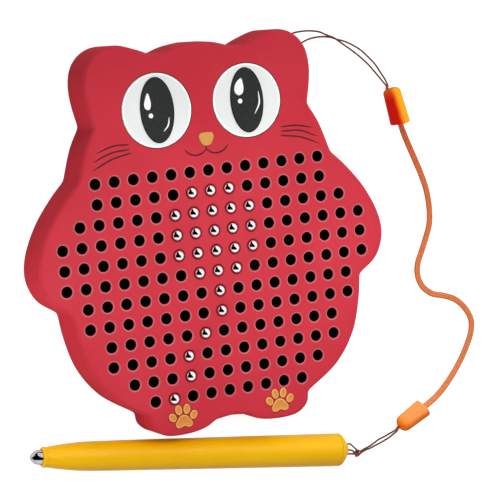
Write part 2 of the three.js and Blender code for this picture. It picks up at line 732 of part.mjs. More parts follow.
// The pen's loop leaves the lower clip and turns back at the knot, and the hitch runs from the knot
// through the eyelets, round the plug's bar, and back.
function penLoop() {
  const centre = onRoute(penLoopTurn.centre, strandDiameter);
  const radius = penLoopTurn.radiusShare * holePitch;
  const turn = [];
  for (const degrees of penTurnDegrees) {
    const angle = THREE.MathUtils.degToRad(degrees);
    turn.push(new THREE.Vector3(centre.x + radius * Math.cos(angle), centre.y + radius * Math.sin(angle), centre.z));
  }
  const reach = clipLength + ropeGap;
  return [
    clipPoint(lowerClipGroup, reach, -strandSpacing / 2),
    ...penLoopOut.map((share) => onRoute(share, strandDiameter)),
    ...turn,
    ...penLoopBack.map((share) => onRoute(share, strandDiameter)),
    clipPoint(lowerClipGroup, reach, strandSpacing / 2),
  ];
}

function penHitch() {
  const knot = onRoute(knotShare, strandDiameter);
  const across = eyeletSpacing / 2;
  const inside = penLength - eyeletDepth + eyeletDiameter / 2;
  const face = penLength + strandDiameter;
  const spread = new THREE.Vector3(0, strandSpacing / 2, 0);
  return [
    knot.clone().add(spread),
    penPoint(face, across, 0),
    penPoint((face + inside) / 2, across, 0),
    penPoint(inside, across / 2, 0),
    penPoint(inside, -across / 2, 0),
    penPoint((face + inside) / 2, -across, 0),
    penPoint(face, -across, 0),
    knot.clone().sub(spread),
  ];
}

addPiece('board_loop', tube(boardLoop(), strandDiameter, strandDiameter, boardLoopSteps), colours.strand);
addPiece('pen_loop', tube(penLoop(), strandDiameter, strandDiameter, penLoopSteps), colours.strand);
addPiece('pen_hitch', tube(penHitch(), strandDiameter, strandDiameter, hitchSteps), colours.strand);

export default board;
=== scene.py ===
"""Looks of a magnetic drawing board: a cat-shaped red box with a grid of holes, steel beads, a
yellow pen and an orange tether cord. Shapes are worked out in millimetres in the CAD model's frame:
+X is the board's right, +Y points to the ears, +Z out of the face, and the board lies on its back.
"""

import math

import bmesh
import bpy
import numpy as np
from mathutils import Matrix, Vector
from mathutils.geometry import delaunay_2d_cdt


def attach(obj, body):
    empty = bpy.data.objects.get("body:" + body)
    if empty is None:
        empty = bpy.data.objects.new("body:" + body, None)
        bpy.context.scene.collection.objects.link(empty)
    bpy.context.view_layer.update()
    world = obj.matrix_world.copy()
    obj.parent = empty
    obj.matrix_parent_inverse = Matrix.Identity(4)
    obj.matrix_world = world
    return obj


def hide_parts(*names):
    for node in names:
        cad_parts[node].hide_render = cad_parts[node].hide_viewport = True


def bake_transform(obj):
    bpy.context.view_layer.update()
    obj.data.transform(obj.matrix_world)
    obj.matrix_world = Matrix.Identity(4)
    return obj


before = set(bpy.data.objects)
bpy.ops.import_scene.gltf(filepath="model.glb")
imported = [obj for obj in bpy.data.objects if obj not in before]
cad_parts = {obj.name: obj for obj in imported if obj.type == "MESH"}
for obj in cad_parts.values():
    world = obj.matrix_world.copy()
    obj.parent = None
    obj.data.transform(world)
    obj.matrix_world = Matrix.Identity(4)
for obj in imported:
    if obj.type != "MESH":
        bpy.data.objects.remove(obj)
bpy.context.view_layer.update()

MM = 0.001
PITCH = 7.5

# Board
THICK = 17.5
WALL = 1.5
FACE_PLATE = 2.2
EDGE_RADIUS = 1.3
HOLE_RADIUS = 2.12
RIM_WIDTH = 0.5
RIM_DEPTH = 0.22
BEAD_RADIUS = 2.13
BEAD_SUNK = 0.6
BEAD_TRAVEL = 7.0
BORE_RADIUS = 2.5
HOLE_SIDES = 24
EYE_PLACE = [2.42, 8.71]
GLINT_TOP = 0.46
RELIEF_DEPTH = 0.0002
OUTLINE_STEPS = 8
OUTLINE_POINTS = 680
KINK_ROUNDING = 0.7
ROW_COUNTS = [13, 13, 15, 17, 17, 17, 15, 15, 13, 13, 11, 9]
RAISED = [[], [-1, 0, 1], [-2, -1, 0, 1, 2], [-2, -1, 0, 1, 2], [-2, -1, 0, 1, 2], [-1, 0, 1],
          [0], [0], [-1], [-2], [-2], [-3]]
OUTLINE = [
    [[0, 11.87], [1.01, 11.73], [2.2, 11.42], [3.1, 11.74], [4.2, 12.06], [5.01, 11.93],
     [5.59, 11.52], [5.93, 10.95], [6.06, 10.13], [5.98, 9.26], [5.75, 8.21]],
    [[5.75, 8.21], [6.29, 7.22], [6.81, 5.67]],
    [[6.81, 5.67], [7.53, 4.94], [8.53, 3.63], [9.2, 2.13], [9.28, 1.08], [8.83, 0.04],
     [7.83, -0.71]],
    [[7.83, -0.71], [7.63, -2.03], [7.13, -3.62], [6.09, -5.05], [4.32, -6.25]],
    [[4.32, -6.25], [4.23, -6.78], [3.67, -7.25], [2.4, -7.36], [1.37, -7.18], [0.85, -6.89]],
]
NOTCH_BETWEEN_FEET = -6.79
NOTCH_PLACE = [5.75, 11.2]
NOTCH_HEIGHT = 3.8
BOSSES = [[4.35, 10.45], [-4.35, 10.45], [2.75, -6.4], [-2.75, -6.4]]

# Tether: places in pitches, and a third number is how far the underside lies above the table
CORD_WIDTH = 2.4
CORD_THICK = 1.4
STRAND = 0.7
STRAND_SIDES = 12
JOINED = 0.6
SOCKET_DEPTH = 2
ROPE_GAP = 0.35
UPPER_CLIP = {
    "cord_end": [11.77, 6.5], "heading": 101.2, "roll": -75.5, "length": 14.5, "width": 8.2,
    "tip": 6.8, "thick": 5.0, "rounding": [2.2, 1.2], "tip_share": 0.75, "lean": [1.0, 0.0],
    "strands": [1.5, 0.6], "pair": [0, 1],
}
LOWER_CLIP = {
    "cord_end": [11.67, -8.44], "heading": 207.2, "roll": 53.5, "length": 13.2, "width": 7.6,
    "tip": 6.3, "thick": 4.6, "rounding": [2.8, 1.6], "tip_share": 0.0, "lean": [0.87, 0.13],
    "strands": [0.0, 0.2], "pair": [1, 0],
}
CORD_ROUTE = [
    [12.19, 5.55, 0.25], [12.61, 4.62, 0.1], [12.98, 3.69, 0.02], [13.21, 2.85, 0.01],
    [13.29, 1.87, 0.01], [13.21, 1.07, 0.01], [12.9, 0.29, 0.01], [12.61, -0.32, 0.01],
    [12.31, -0.96, 0.01], [12.25, -1.54, 0.01], [12.47, -2.16, 0.01], [13.0, -2.62, 0.01],
    [13.75, -2.85, 0.01], [14.39, -3.15, 0.01], [14.92, -3.7, 0.01], [15.2, -4.34, 0.01],
    [15.14, -4.93, 0.01], [14.81, -5.65, 0.01], [14.24, -6.5, 0.04], [13.47, -7.32, 0.15],
    [12.67, -7.95, 0.29],
]
BOARD_LOOP_OUT = [
    [11.25, 8.52, 0.37], [11.19, 8.63, 0.33], [11.03, 8.91, 0.21], [10.81, 9.29, 0.07],
    [10.48, 9.73, 0.01], [10.04, 10.17, 0.01], [9.63, 10.52, 0.01], [9.22, 10.84, 0.01],
    [8.92, 11.07, 0.01], [8.66, 11.27, 0.01], [8.42, 11.38, 0.01], [8.18, 11.49, 0.01],
    [7.87, 11.64, 0.02], [7.36, 11.74, 0.1], [6.91, 11.77, 0.21], [6.26, 11.73, 0.31],
    [5.75, 11.55, 0.36], [5.15, 11.3, 0.38],
]
BOARD_LOOP_BACK = [
    [5.4, 10.5, 0.38], [6.05, 10.93, 0.34], [6.71, 11.21, 0.3], [7.07, 11.32, 0.19],
    [7.5, 11.38, 0.07], [7.93, 11.39, 0.015], [8.37, 11.33, 0.025], [8.58, 11.26, 0.1],
    [8.73, 11.18, 0.17], [9.07, 11.08, 0.11], [9.45, 10.93, 0.02], [10.04, 10.57, 0.01],
    [10.48, 10.16, 0.01], [10.87, 9.69, 0.05], [11.1, 9.23, 0.14], [11.26, 8.86, 0.26],
    [11.31, 8.69, 0.31], [11.34, 8.5, 0.37],
]
PEN_LOOP_OUT = [
    [9.92, -9.38, 0.47], [9.78, -9.47, 0.39], [9.61, -9.57, 0.26], [9.39, -9.69, 0.15],
    [9.15, -9.78, 0.07], [8.84, -9.94, 0.03], [8.46, -10.09, 0.07], [8.3, -10.12, 0.1],
    [8.11, -10.16, 0.14], [7.9, -10.22, 0.19],
]
PEN_LOOP_BACK = [
    [7.91, -10.32, 0.19], [8.13, -10.25, 0.14], [8.34, -10.2, 0.1], [8.46, -10.2, 0.07],
    [8.82, -10.11, 0.03], [9.15, -10.0, 0.07], [9.39, -9.89, 0.15], [9.61, -9.76, 0.26],
    [9.83, -9.59, 0.39], [9.99, -9.45, 0.47],
]
KNOT = [7.63, -10.29, 0.2]
HITCH_WAYS = [
    (1.8, [[7.62, -10.12, 0.36], [7.33, -9.84, 0.6], [7.03, -9.6, 0.76]]),
    (0.0, [[7.45, -10.17, 0.41], [7.2, -10.0, 0.65]]),
    (-1.8, [[7.48, -10.27, 0.34], [7.12, -10.17, 0.6]]),
]

# The loops' turns round the screw post and at the knot, in millimetres
BOARD_TURN = {
    "centre": [32.625, 78.375, 4.7], "radius": 4.3,
    "degrees": [105, 135, 165, 195, 225, 255, 285, 310]}
PEN_TURN = {"centre": [58.05, -77.1, 1.85], "radius": 1.0875, "degrees": [90, 135, 180, 225, 270]}

# Pen, measured from the point of its nose
PEN_END = [6.757, -9.856]
PEN_HEADING = -8.06
PEN_LENGTH = 128.7
PEN_END_RADIUS = 6.35
PEN_SHOULDER_RADIUS = 5.55
PEN_SHOULDER = 22
PEN_NOSE_RADIUS = 2.75
PEN_NOSE_LENGTH = 4.4
PEN_LIP_RADIUS = 3.85
PEN_LIP_LENGTH = 1.6
PLUG_BEVEL = 3.9
PLUG_END_RADIUS = 2.7
PEN_SEAM = PEN_LENGTH - PLUG_BEVEL
PEN_SEAM_GAP = 0.05
PEN_SEAM_ROUNDING = 0.12
PEN_SWELL = [[0.18, 0.2], [0.4, 0.47], [0.66, 0.74], [1, 0.94]]
PLUG_CURVE = [[0.08, 1.0], [0.22, 0.97], [0.4, 0.83], [0.66, 0.5], [0.9, 0.15], [0.98, 0.04]]
PEN_SLOPE = (PEN_END_RADIUS - PEN_SHOULDER_RADIUS) / (PEN_SEAM - PEN_SHOULDER)
PEN_TILT = math.atan(PEN_SLOPE)


# ---------------------------------------------------------------- shapes

def in_pitches(rows):
    return np.array(rows, float) * PITCH


def turned(axis, degrees):
    """The 3x3 matrix that turns a point about one axis of the frame."""
    return np.array(Matrix.Rotation(math.radians(degrees), 3, axis))


def smooth_curve(points, steps):
    """A centripetal Catmull-Rom curve: each span is the cubic whose end slopes weigh the
    neighbouring chords by the square roots of their lengths, and the ends continue their last
    chord."""
    p = np.asarray(points, float)
    row = np.vstack([2 * p[0] - p[1], p, 2 * p[-1] - p[-2]])
    knot = np.sqrt(np.linalg.norm(np.diff(row, axis=0), axis=1))[:, None]
    k0, k1, k2 = knot[:-2], knot[1:-1], knot[2:]
    a, b, c, d = row[:-3], row[1:-2], row[2:-1], row[3:]
    leave = ((b - a) / k0 - (c - a) / (k0 + k1) + (c - b) / k1) * k1
    arrive = ((c - b) / k1 - (d - b) / (k1 + k2) + (d - c) / k2) * k1
    t = (np.arange(steps) / steps)[None, :, None]
    b, c, leave, arrive = (x[:, None] for x in (b, c, leave, arrive))
    square, cube = 3 * (c - b) - 2 * leave - arrive, 2 * (b - c) + leave + arrive
    spans = b + leave * t + square * t**2 + cube * t**3
    return np.vstack([spans.reshape(-1, p.shape[1]), p[-1:]])


def closed_curve(points, steps):
    """The same curve run round a closed row of points."""
    p = np.asarray(points, float)
    row = smooth_curve(np.vstack([p[-1:], p, p[:2]]), steps)
    return row[steps:-steps - 1]


def length_along(path):
    """How far along a line each of its points lies."""
    return np.append(0, np.cumsum(np.linalg.norm(np.diff(path, axis=0), axis=1)))


def evenly(points, count):
    """Points at equal steps of length along a line."""
    far = length_along(points)
    wanted = np.linspace(0, far[-1], count)
    return np.stack([np.interp(wanted, far, column) for column in points.T], 1)


def softened(points, reach):
    """A closed line with its kinks rounded: each point becomes its neighbours' mean under a bell
    curve of that reach, worked out as a product of Fourier series."""
    step = np.linalg.norm(points[1] - points[0])
    waves = np.fft.fftfreq(len(points), step)
    bell = np.exp(-2 * (math.pi * waves * reach) ** 2)
    return np.fft.ifft(np.fft.fft(points, axis=0) * bell[:, None], axis=0).real


def board_outline():
    """The board's outline at equal steps, anticlockwise from the middle of the head."""
    half = np.vstack([smooth_curve(in_pitches(stretch), OUTLINE_STEPS)[:-1] for stretch in OUTLINE])
    half = np.vstack([half, in_pitches(OUTLINE[-1][-1:])])
    notch = in_pitches([[0, NOTCH_BETWEEN_FEET]])
    whole = np.vstack([half[:1], half[1:] * [-1, 1], notch, half[:0:-1], half[:1]])
    return softened(evenly(whole, OUTLINE_POINTS + 1)[:-1], KINK_ROUNDING)


def unit(rows):
    return rows / np.linalg.norm(rows, axis=1)[:, None]


def inset(line, distance):
    """Moves a closed anticlockwise line inwards along its normals."""
    run = unit(np.roll(line, -1, axis=0) - np.roll(line, 1, axis=0))
    return line + distance * np.stack([-run[:, 1], run[:, 0]], 1)


def round_steps(count):
    """Equal steps of angle round a circle."""
    return 2 * math.pi * np.arange(count) / count


def on_circle(angle, radius, centre):
    return radius * np.stack([np.cos(angle), np.sin(angle)], 1) + centre


def circle(radius, count, centre=(0, 0)):
    return on_circle(round_steps(count), radius, centre)


def arc(centre, radius, start, end, count):
    """(along, radius) pairs on a round corner between two angles in degrees."""
    return on_circle(np.radians(np.linspace(start, end, count)), radius, centre)


def oval(half, turn, count, centre):
    return circle(1, count) * half @ turned("Z", turn)[:2, :2].T + centre


def at(line, height):
    """A flat line put at one height, or at a height of its own for each point."""
    return np.column_stack([line, np.broadcast_to(height, len(line))])


def lathe(profile, count):
    """Rings of (along, radius cos a, radius sin a) for equal steps of a: a profile turned about the
    X axis."""
    return [np.column_stack([np.full(count, along), circle(radius, count)])
            for along, radius in profile]


def rounded_edge(line, radius, top, degrees):
    """Rings over a quarter-round edge: at an angle a, the line is drawn in by radius (1 - cos a)
    and lies radius (1 - sin a) below the top."""
    return [at(inset(line, radius * (1 - math.cos(turn))), top - radius * (1 - math.sin(turn)))
            for turn in np.radians(degrees)]


def swept(path, section, rise=(0, 0, 1)):
    """A section carried along a path: the path's point, plus the section's first number times the
    level direction across the path, plus its second times the direction square to both."""
    run = unit(np.gradient(path, axis=0))
    across = unit(np.cross(np.broadcast_to(np.asarray(rise, float), path.shape), run))
    up = np.cross(run, across)
    section = np.broadcast_to(section, (len(path),) + np.shape(section)[-2:])
    return path[:, None] + section[..., :1] * across[:, None] + section[..., 1:] * up[:, None]


def within(points, line):
    """Whether each point lies in a closed line: a ray to its right then crosses it an odd number of
    times."""
    (x, y), (x0, y0) = points.T[:, :, None], line.T
    x1, y1 = np.roll(line, -1, axis=0).T
    level = y1 - y0
    cross = x0 + (y - y0) * (x1 - x0) / np.where(level == 0, 1, level)
    return (((y0 <= y) != (y1 <= y)) & (cross > x)).sum(1) % 2 == 1


class Skin:
    """One surface in millimetres, gathered ring by ring. Every ring is closed."""

    def __init__(self):
        self.points, self.faces, self.marks, self.size = [], [], [], 0

    def ring(self, points):
        self.points.append(np.asarray(points, float))
        self.size += len(points)
        return np.arange(self.size - len(points), self.size)

    def add(self, faces, mark):
        self.faces += faces.tolist()
        self.marks += [mark] * len(faces)

    def band(self, low, high, mark=0):
        """Four-sided faces between two rings of equally many points."""
        self.add(np.stack([low, np.roll(low, -1), np.roll(high, -1), high], 1), mark)

    def tube(self, rings, mark=0):
        numbers = [self.ring(ring) for ring in rings]
        for low, high in zip(numbers, numbers[1:]):
            self.band(low, high, mark)
        return numbers

    def cap(self, ring, mark=0):
        """Closes a ring with a fan round the mean of its points."""
        points = np.vstack(self.points)[ring]
        middle = self.ring(points.mean(0)[None])
        self.add(np.stack([ring, np.roll(ring, -1), np.repeat(middle, len(ring))], 1), mark)

    def closed_tube(self, rings, mark=0):
        numbers = self.tube(rings, mark)
        self.cap(numbers[0], mark)
        self.cap(numbers[-1], mark)

    def plate(self, numbers, mark=0):
        """Fills the first ring, apart from the others, with triangles. One with all its corners on
        another ring lies in a hole and is left out, and so is one whose middle lies outside the
        first ring."""
        order = np.concatenate(numbers)
        flat = np.vstack(self.points)[order][:, :2]
        which = np.repeat(np.arange(len(numbers)), [len(ring) for ring in numbers])
        edges, first = [], 0
        for ring in numbers:
            local = np.arange(first, first + len(ring))
            edges += np.stack([local, np.roll(local, -1)], 1).tolist()
            first += len(ring)
        made = delaunay_2d_cdt([Vector(p) for p in flat], edges, [], 1, 1e-7, True)
        home = np.array([ids[0] for ids in made[3]])
        triangles = home[np.array(made[2])]
        owner = which[triangles]
        one_ring = (owner[:, 0] == owner[:, 1]) & (owner[:, 1] == owner[:, 2])
        inside = within(flat[triangles].mean(1), flat[:len(numbers[0])])
        kept = ~one_ring | ((owner[:, 0] == 0) & inside)
        self.add(order[triangles[kept]], mark)


def placed(name, data):
    """A new object in the scene."""
    made = bpy.data.objects.new(name, data)
    bpy.context.scene.collection.objects.link(made)
    return made


def show(name, skin, materials, body="board", nodes=(), sharp=40, place=None,
         values=None):
    """Makes a piece from a skin: its points are put in place and welded where they meet, and its
    faces turned outwards. Edges whose faces meet at more than the sharp angle in degrees stay
    crisp."""
    points = np.vstack(skin.points)
    if place:
        points = place(points)
    mesh = bpy.data.meshes.new(name)
    mesh.from_pydata((points * MM).tolist(), [], skin.faces)
    mesh.polygons.foreach_set("material_index", skin.marks)
    for key, numbers in (values or {}).items():
        attribute = mesh.attributes.new(key, "FLOAT", "POINT")
        attribute.data.foreach_set("value", np.asarray(numbers, np.float32))
    work = bmesh.new()
    work.from_mesh(mesh)
    bmesh.ops.remove_doubles(work, verts=work.verts, dist=1e-8)
    bmesh.ops.recalc_face_normals(work, faces=work.faces)
    work.to_mesh(mesh)
    work.free()
    mesh.polygons.foreach_set("use_smooth", [True] * len(mesh.polygons))
    mesh.set_sharp_from_angle(angle=math.radians(sharp))
    for material in materials:
        mesh.materials.append(material)
    piece = placed(name, mesh)
    if body:
        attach(piece, body)
    if nodes:
        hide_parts(*nodes)
    return piece


# ---------------------------------------------------------------- materials

def linear(code):
    """A colour written as six hexadecimal digits, as the linear values of a shader socket."""
    parts = np.array([int(code[i:i + 2], 16) for i in (0, 2, 4)]) / 255
    parts = np.where(parts <= 0.04045, parts / 12.92, ((parts + 0.055) / 1.055) ** 2.4)
    return (*parts.tolist(), 1.0)


def feed(tree, socket, value):
    """Gives a socket another node's output, a colour code, or a fixed value."""
    if isinstance(value, bpy.types.NodeSocket):
        tree.links.new(value, socket)
    else:
        socket.default_value = linear(value) if isinstance(value, str) else value


def node(tree, kind, inputs=None, **settings):
    """A shader node with its settings and what feeds its inputs."""
    made = tree.nodes.new("ShaderNode" + kind)
    for key, value in settings.items():
        setattr(made, key, value)
    for key, value in (inputs or {}).items():
        feed(tree, made.inputs[key], value)
    return made


def maths(tree, operation, *inputs):
    return node(tree, "Math", dict(enumerate(inputs)), operation=operation).outputs[0]


def levels(tree, value, start, end, low=0.0, high=1.0):
    """A value stretched from one range to another, and held within the second."""
    return node(tree, "MapRange", {"Value": value, "From Min": start, "From Max": end,
                                   "To Min": low, "To Max": high}).outputs[0]


def tinted(tree, share, first, second):
    """A mix of two colours."""
    return node(tree, "Mix", {0: share, 6: first, 7: second}, data_type="RGBA").outputs[2]


def turned_away(tree, start, end, most):
    """How far the surface turns away from the eye, as a share up to the most."""
    facing = node(tree, "LayerWeight", {"Blend": 0.5}).outputs["Facing"]
    return levels(tree, facing, start, end, 0.0, most)


def relief(tree, strength, height):
    return node(tree, "Bump", {
        "Strength": strength, "Distance": RELIEF_DEPTH, "Height": height}).outputs[0]


def shader_group(name, inputs, outputs):
    tree = bpy.data.node_groups.new(name, "ShaderNodeTree")
    for key, kind in inputs.items():
        tree.interface.new_socket(key, in_out="INPUT", socket_type="NodeSocket" + kind)
    for key in outputs:
        tree.interface.new_socket(key, in_out="OUTPUT", socket_type="NodeSocketFloat")
    return tree, tree.nodes.new("NodeGroupInput").outputs, tree.nodes.new("NodeGroupOutput").inputs


def moulded_grain():
    """Fine: noise of a few cycles in each millimetre. Patch: slow noise over centimetres. Height,
    for a Bump node: the fine noise times the distance to the nearest of many scattered points."""
    tree, given, out = shader_group(
        "moulded_grain", {"Place": "Vector", "Fine Scale": "Float", "Patch Scale": "Float"},
        ["Fine", "Patch", "Height"])
    place, scale = given["Place"], given["Fine Scale"]
    fine = node(tree, "TexNoise", {
        "Vector": place, "Scale": scale, "Detail": 3.0, "Roughness": 0.6}).outputs[0]
    patch = node(tree, "TexNoise", {
        "Vector": place, "Scale": given["Patch Scale"], "Detail": 2.0}).outputs[0]
    pits = node(tree, "TexVoronoi", {"Vector": place, "Scale": scale}).outputs["Distance"]
    height = maths(tree, "MULTIPLY", fine, pits)
    for key, source in (("Fine", fine), ("Patch", patch), ("Height", height)):
        tree.links.new(source, out[key])
    return tree


def braided_cord():
    """Two sets of yarns wind round the cord in opposite senses: each is a sine of the angle round
    it plus or minus the length along it, and the braid is the larger of the two."""
    tree, given, out = shader_group("braided_cord", {
        "Round": "Float", "Along": "Float", "Yarns": "Float", "Turns": "Float"}, ["Yarn", "Height"])
    turns = maths(tree, "MULTIPLY", given["Along"], given["Turns"])
    yarns = maths(tree, "MULTIPLY", given["Round"], given["Yarns"])
    waves = [maths(tree, "SINE", maths(tree, way, yarns, turns)) for way in ("ADD", "SUBTRACT")]
    share = levels(tree, maths(tree, "MAXIMUM", *waves), -1.0, 1.0)
    for key in ("Yarn", "Height"):
        tree.links.new(share, out[key])
    return tree


GRAIN = moulded_grain()
BRAID = braided_cord()


def new_material(name, **plain):
    material = bpy.data.materials.new(name)
    material.use_nodes = True
    shader = material.node_tree.nodes["Principled BSDF"].inputs
    for key, value in plain.items():
        shader[key.replace("_", " ")].default_value = value
    return material, material.node_tree, shader


def bare_tree(owner):
    """The emptied shader tree of a world or a material."""
    owner.use_nodes = True
    owner.node_tree.nodes.clear()
    return owner.node_tree


def grained(name, deep, pale, rough, fine=900.0, patch=40.0, bump=0.2, fine_share=0.35, **plain):
    """Moulded or sandy grain: patches and grain together lead from a deep tone to a pale one, the
    grain sets the gloss, and its height the bump."""
    material, tree, shader = new_material(name, **plain)
    place = node(tree, "TexCoord").outputs["Object"]
    grain = node(tree, "Group", {"Place": place, "Fine Scale": fine, "Patch Scale": patch},
                 node_tree=GRAIN).outputs
    both = node(tree, "Mix", {0: fine_share, 2: grain["Patch"], 3: grain["Fine"]}).outputs[0]
    feed(tree, shader["Base Color"], tinted(tree, levels(tree, both, 0.3, 0.7), deep, pale))
    feed(tree, shader["Roughness"], levels(tree, grain["Fine"], 0.0, 1.0, *rough))
    feed(tree, shader["Normal"], relief(tree, bump, grain["Height"]))
    return material


def yarn_covered(name, start, end, edge, yarns, turns, bump):
    """Braided yarn: the tones of groove and yarn change from the cord's start to its end, and
    deepen where the surface turns away from the eye, a painted shade on the cord's edges. The
    darker groove tone between the yarns is painted shade as well. Attributes hold the place round
    and along the cord."""
    material, tree, shader = new_material(
        name, Roughness=0.75, Sheen_Weight=0.25, Sheen_Roughness=0.4)
    around, along, share = (node(tree, "Attribute", attribute_name=key).outputs["Fac"]
                            for key in ("round", "along", "share"))
    braid = node(tree, "Group", {"Round": around, "Along": along, "Yarns": yarns, "Turns": turns},
                 node_tree=BRAID).outputs
    groove, yarn = (tinted(tree, share, *tones) for tones in zip(start, end))
    tone = tinted(tree, braid["Yarn"], groove, yarn)
    # Painted shade: the tone goes towards the edge colour where the cord turns away from the eye.
    feed(tree, shader["Base Color"], tinted(tree, turned_away(tree, 0.22, 0.62, 0.95), tone, edge))
    feed(tree, shader["Normal"], relief(tree, bump, braid["Height"]))
    return material


def shell_plastic():
    return grained("shell_plastic", "be2a38", "ca3342", (0.5, 0.62), fine=1400.0, bump=0.15,
                   Specular_IOR_Level=0.22)


def wall_plastic():
    return grained("wall_plastic", "c42837", "d03140", (0.7, 0.85), fine=1400.0, bump=0.15,
                   Specular_IOR_Level=0.15)


# Painted highlight: a paler pink copy of the shell plastic on the rims of empty holes.
def hole_rim_highlight():
    return grained("hole_rim_highlight", "bb5560", "c6616b", (0.4, 0.5), fine=1400.0, bump=0.1)


# Painted shadow: a dark red copy of the shell plastic on the rims round raised beads.
def bead_rim_shadow():
    return grained("bead_rim_shadow", "8c2630", "9c2c36", (0.5, 0.6), fine=1400.0, bump=0.1,
                   Specular_IOR_Level=0.2)


# Painted shade: a near-black red copy of the shell plastic on the hole's collar below the rim.
def bore_wall_shade():
    return grained("bore_wall_shade", "4c080c", "5c0c12", (0.6, 0.8), Specular_IOR_Level=0.1)


def cover_plastic():
    return grained("cover_plastic", "b82c39", "c93845", (0.45, 0.6), fine=1100.0, bump=0.3)


def bore_shadow():
    return grained("bore_shadow", "0a0404", "180808", (0.7, 0.9), Specular_IOR_Level=0.1)


def tray_plastic():
    return grained("tray_plastic", "050505", "101010", (0.7, 0.9), Specular_IOR_Level=0.1)


def ball_steel():
    return grained("ball_steel", "f2f2f4", "ffffff", (0.05, 0.1), fine=600.0, bump=0.02,
                   Metallic=1.0)


def nose_chrome():
    """Chrome with painted shade where it turns away from the eye."""
    material = grained("nose_chrome", "b4b5b8", "dcdde0", (0.08, 0.16), fine=500.0, bump=0.03,
                       Metallic=1.0)
    tree = material.node_tree
    base = tree.nodes["Principled BSDF"].inputs["Base Color"]
    share = turned_away(tree, 0.5, 0.85, 0.85)
    feed(tree, base, tinted(tree, share, base.links[0].from_socket, "26282a"))
    return material


def screw_steel():
    return grained("screw_steel", "7e8084", "a4a6aa", (0.3, 0.45), bump=0.1, Metallic=1.0)


def magnet_grey():
    return grained("magnet_grey", "66686c", "808286", (0.35, 0.5), bump=0.1, Metallic=1.0)


def eye_plastic():
    return grained("eye_plastic", "e2e6e4", "eef1ef", (0.35, 0.45), fine=1200.0, bump=0.06)


# White for the printed glints, and a painted highlight on the eye discs' sides and rims.
def glint_print_and_rim_highlight():
    return grained("glint_print_and_rim_highlight", "f8faf9", "ffffff", (0.4, 0.5), fine=1200.0, bump=0.05)


def pupil_grit():
    return grained("pupil_grit", "0e100f", "303332", (0.65, 0.9), fine=1500.0, bump=0.9,
                   fine_share=0.85)


def pupil_rim():
    return grained("pupil_rim", "060707", "101111", (0.6, 0.8), fine=1500.0, bump=0.5)


def tan_plastic():
    return grained("tan_plastic", "cf8430", "dc9440", (0.55, 0.7), fine=1100.0, bump=0.3)


def nose_plastic():
    return grained("nose_plastic", "cf9040", "dc9e50", (0.55, 0.7), fine=1100.0, bump=0.3)


# Painted highlight: a paler tan on the paw pads' raised rims.
def tan_rim_highlight():
    return grained("tan_rim_highlight", "e49e58", "efac6c", (0.5, 0.65), fine=1100.0, bump=0.2)


# Painted shadow: a dark red-brown edge round the foot of each paw pad.
def paw_edge_shadow():
    return grained("paw_edge_shadow", "8c2c20", "9c3826", (0.6, 0.7), fine=1100.0, bump=0.1,
                   Specular_IOR_Level=0.2)


def whisker_ink():
    return grained("whisker_ink", "440208", "560810", (0.55, 0.7), fine=1200.0, bump=0.1)


def pen_plastic():
    return grained("pen_plastic", "f6b800", "ffc404", (0.3, 0.38), fine=1000.0, bump=0.06,
                   Specular_IOR_Level=0.25)


# Painted shade: a dark brown copy of the pen's yellow inside the end plug's eyelets.
def pen_pocket_shade():
    return grained("pen_pocket_shade", "7a4a08", "9a6210", (0.5, 0.6))


def clip_plastic(name, side, face, edge, glow):
    """Clear plastic: two grained tones on the narrow sides and at the tip, one on the wide faces,
    and a deeper one where the surface turns away from the eye. The narrow-side and wide-face tones
    are painted light and shade, one side lit and the other shaded, and the deeper tone is painted
    shade at the edges. Its glow is painted light that stands for the light in its depth."""
    material = grained(name, *side, (0.3, 0.4), fine=800.0, bump=0.06, Specular_IOR_Level=0.08,
                       Emission_Strength=glow)
    tree = material.node_tree
    shader = tree.nodes["Principled BSDF"].inputs
    wide = node(tree, "Attribute", attribute_name="wide").outputs["Fac"]
    tone = tinted(tree, wide, shader["Base Color"].links[0].from_socket, face)
    tone = tinted(tree, turned_away(tree, 0.5, 1.0, 0.9), tone, edge)
    for key in ("Base Color", "Emission Color"):
        feed(tree, shader[key], tone)
    return material


# Painted shade: a dark red copy of the clip plastic inside the cord's socket.
def clip_socket_shade():
    return grained("clip_socket_shade", "8c1404", "b02408", (0.5, 0.6), fine=800.0, bump=0.1)


def cord_yarn():
    return yarn_covered("cord_yarn", ("b04a1a", "e46e32"), ("d4682c", "fa9456"), "7c2c14",
                        yarns=6.0, turns=3.0, bump=0.5)


def strand_yarn():
    return yarn_covered("strand_yarn", ("50221a", "7e3c2a"), ("84381a", "b45a32"), "3c1810",
                        yarns=3.0, turns=6.0, bump=0.4)


def knot_yarn():
    return yarn_covered("knot_yarn", ("8c2c1c", "c04630"), ("8c2c1c", "c04630"), "6c2414",
                        yarns=3.0, turns=6.0, bump=0.4)


# ---------------------------------------------------------------- viewpoint, light and floor

def make_camera():
    """The viewpoint of the photograph, solved from the places of the board's holes in it."""
    data = bpy.data.cameras.new("viewpoint")
    data.sensor_width, data.lens = 36, 173.47
    data.clip_start, data.clip_end = 0.01, 20
    right, up = (0.90548634, -0.0955988, 0.41346749), (0.1297563, 0.99000472, -0.05526261)
    back, place = (-0.40405173, 0.10368955, 0.90884029), (-0.34986031, 0.10288971, 0.83503752)
    camera = placed("viewpoint", data)
    camera.matrix_world = Matrix([*zip(right, up, back, place), (0, 0, 0, 1)])
    bpy.context.scene.camera = camera


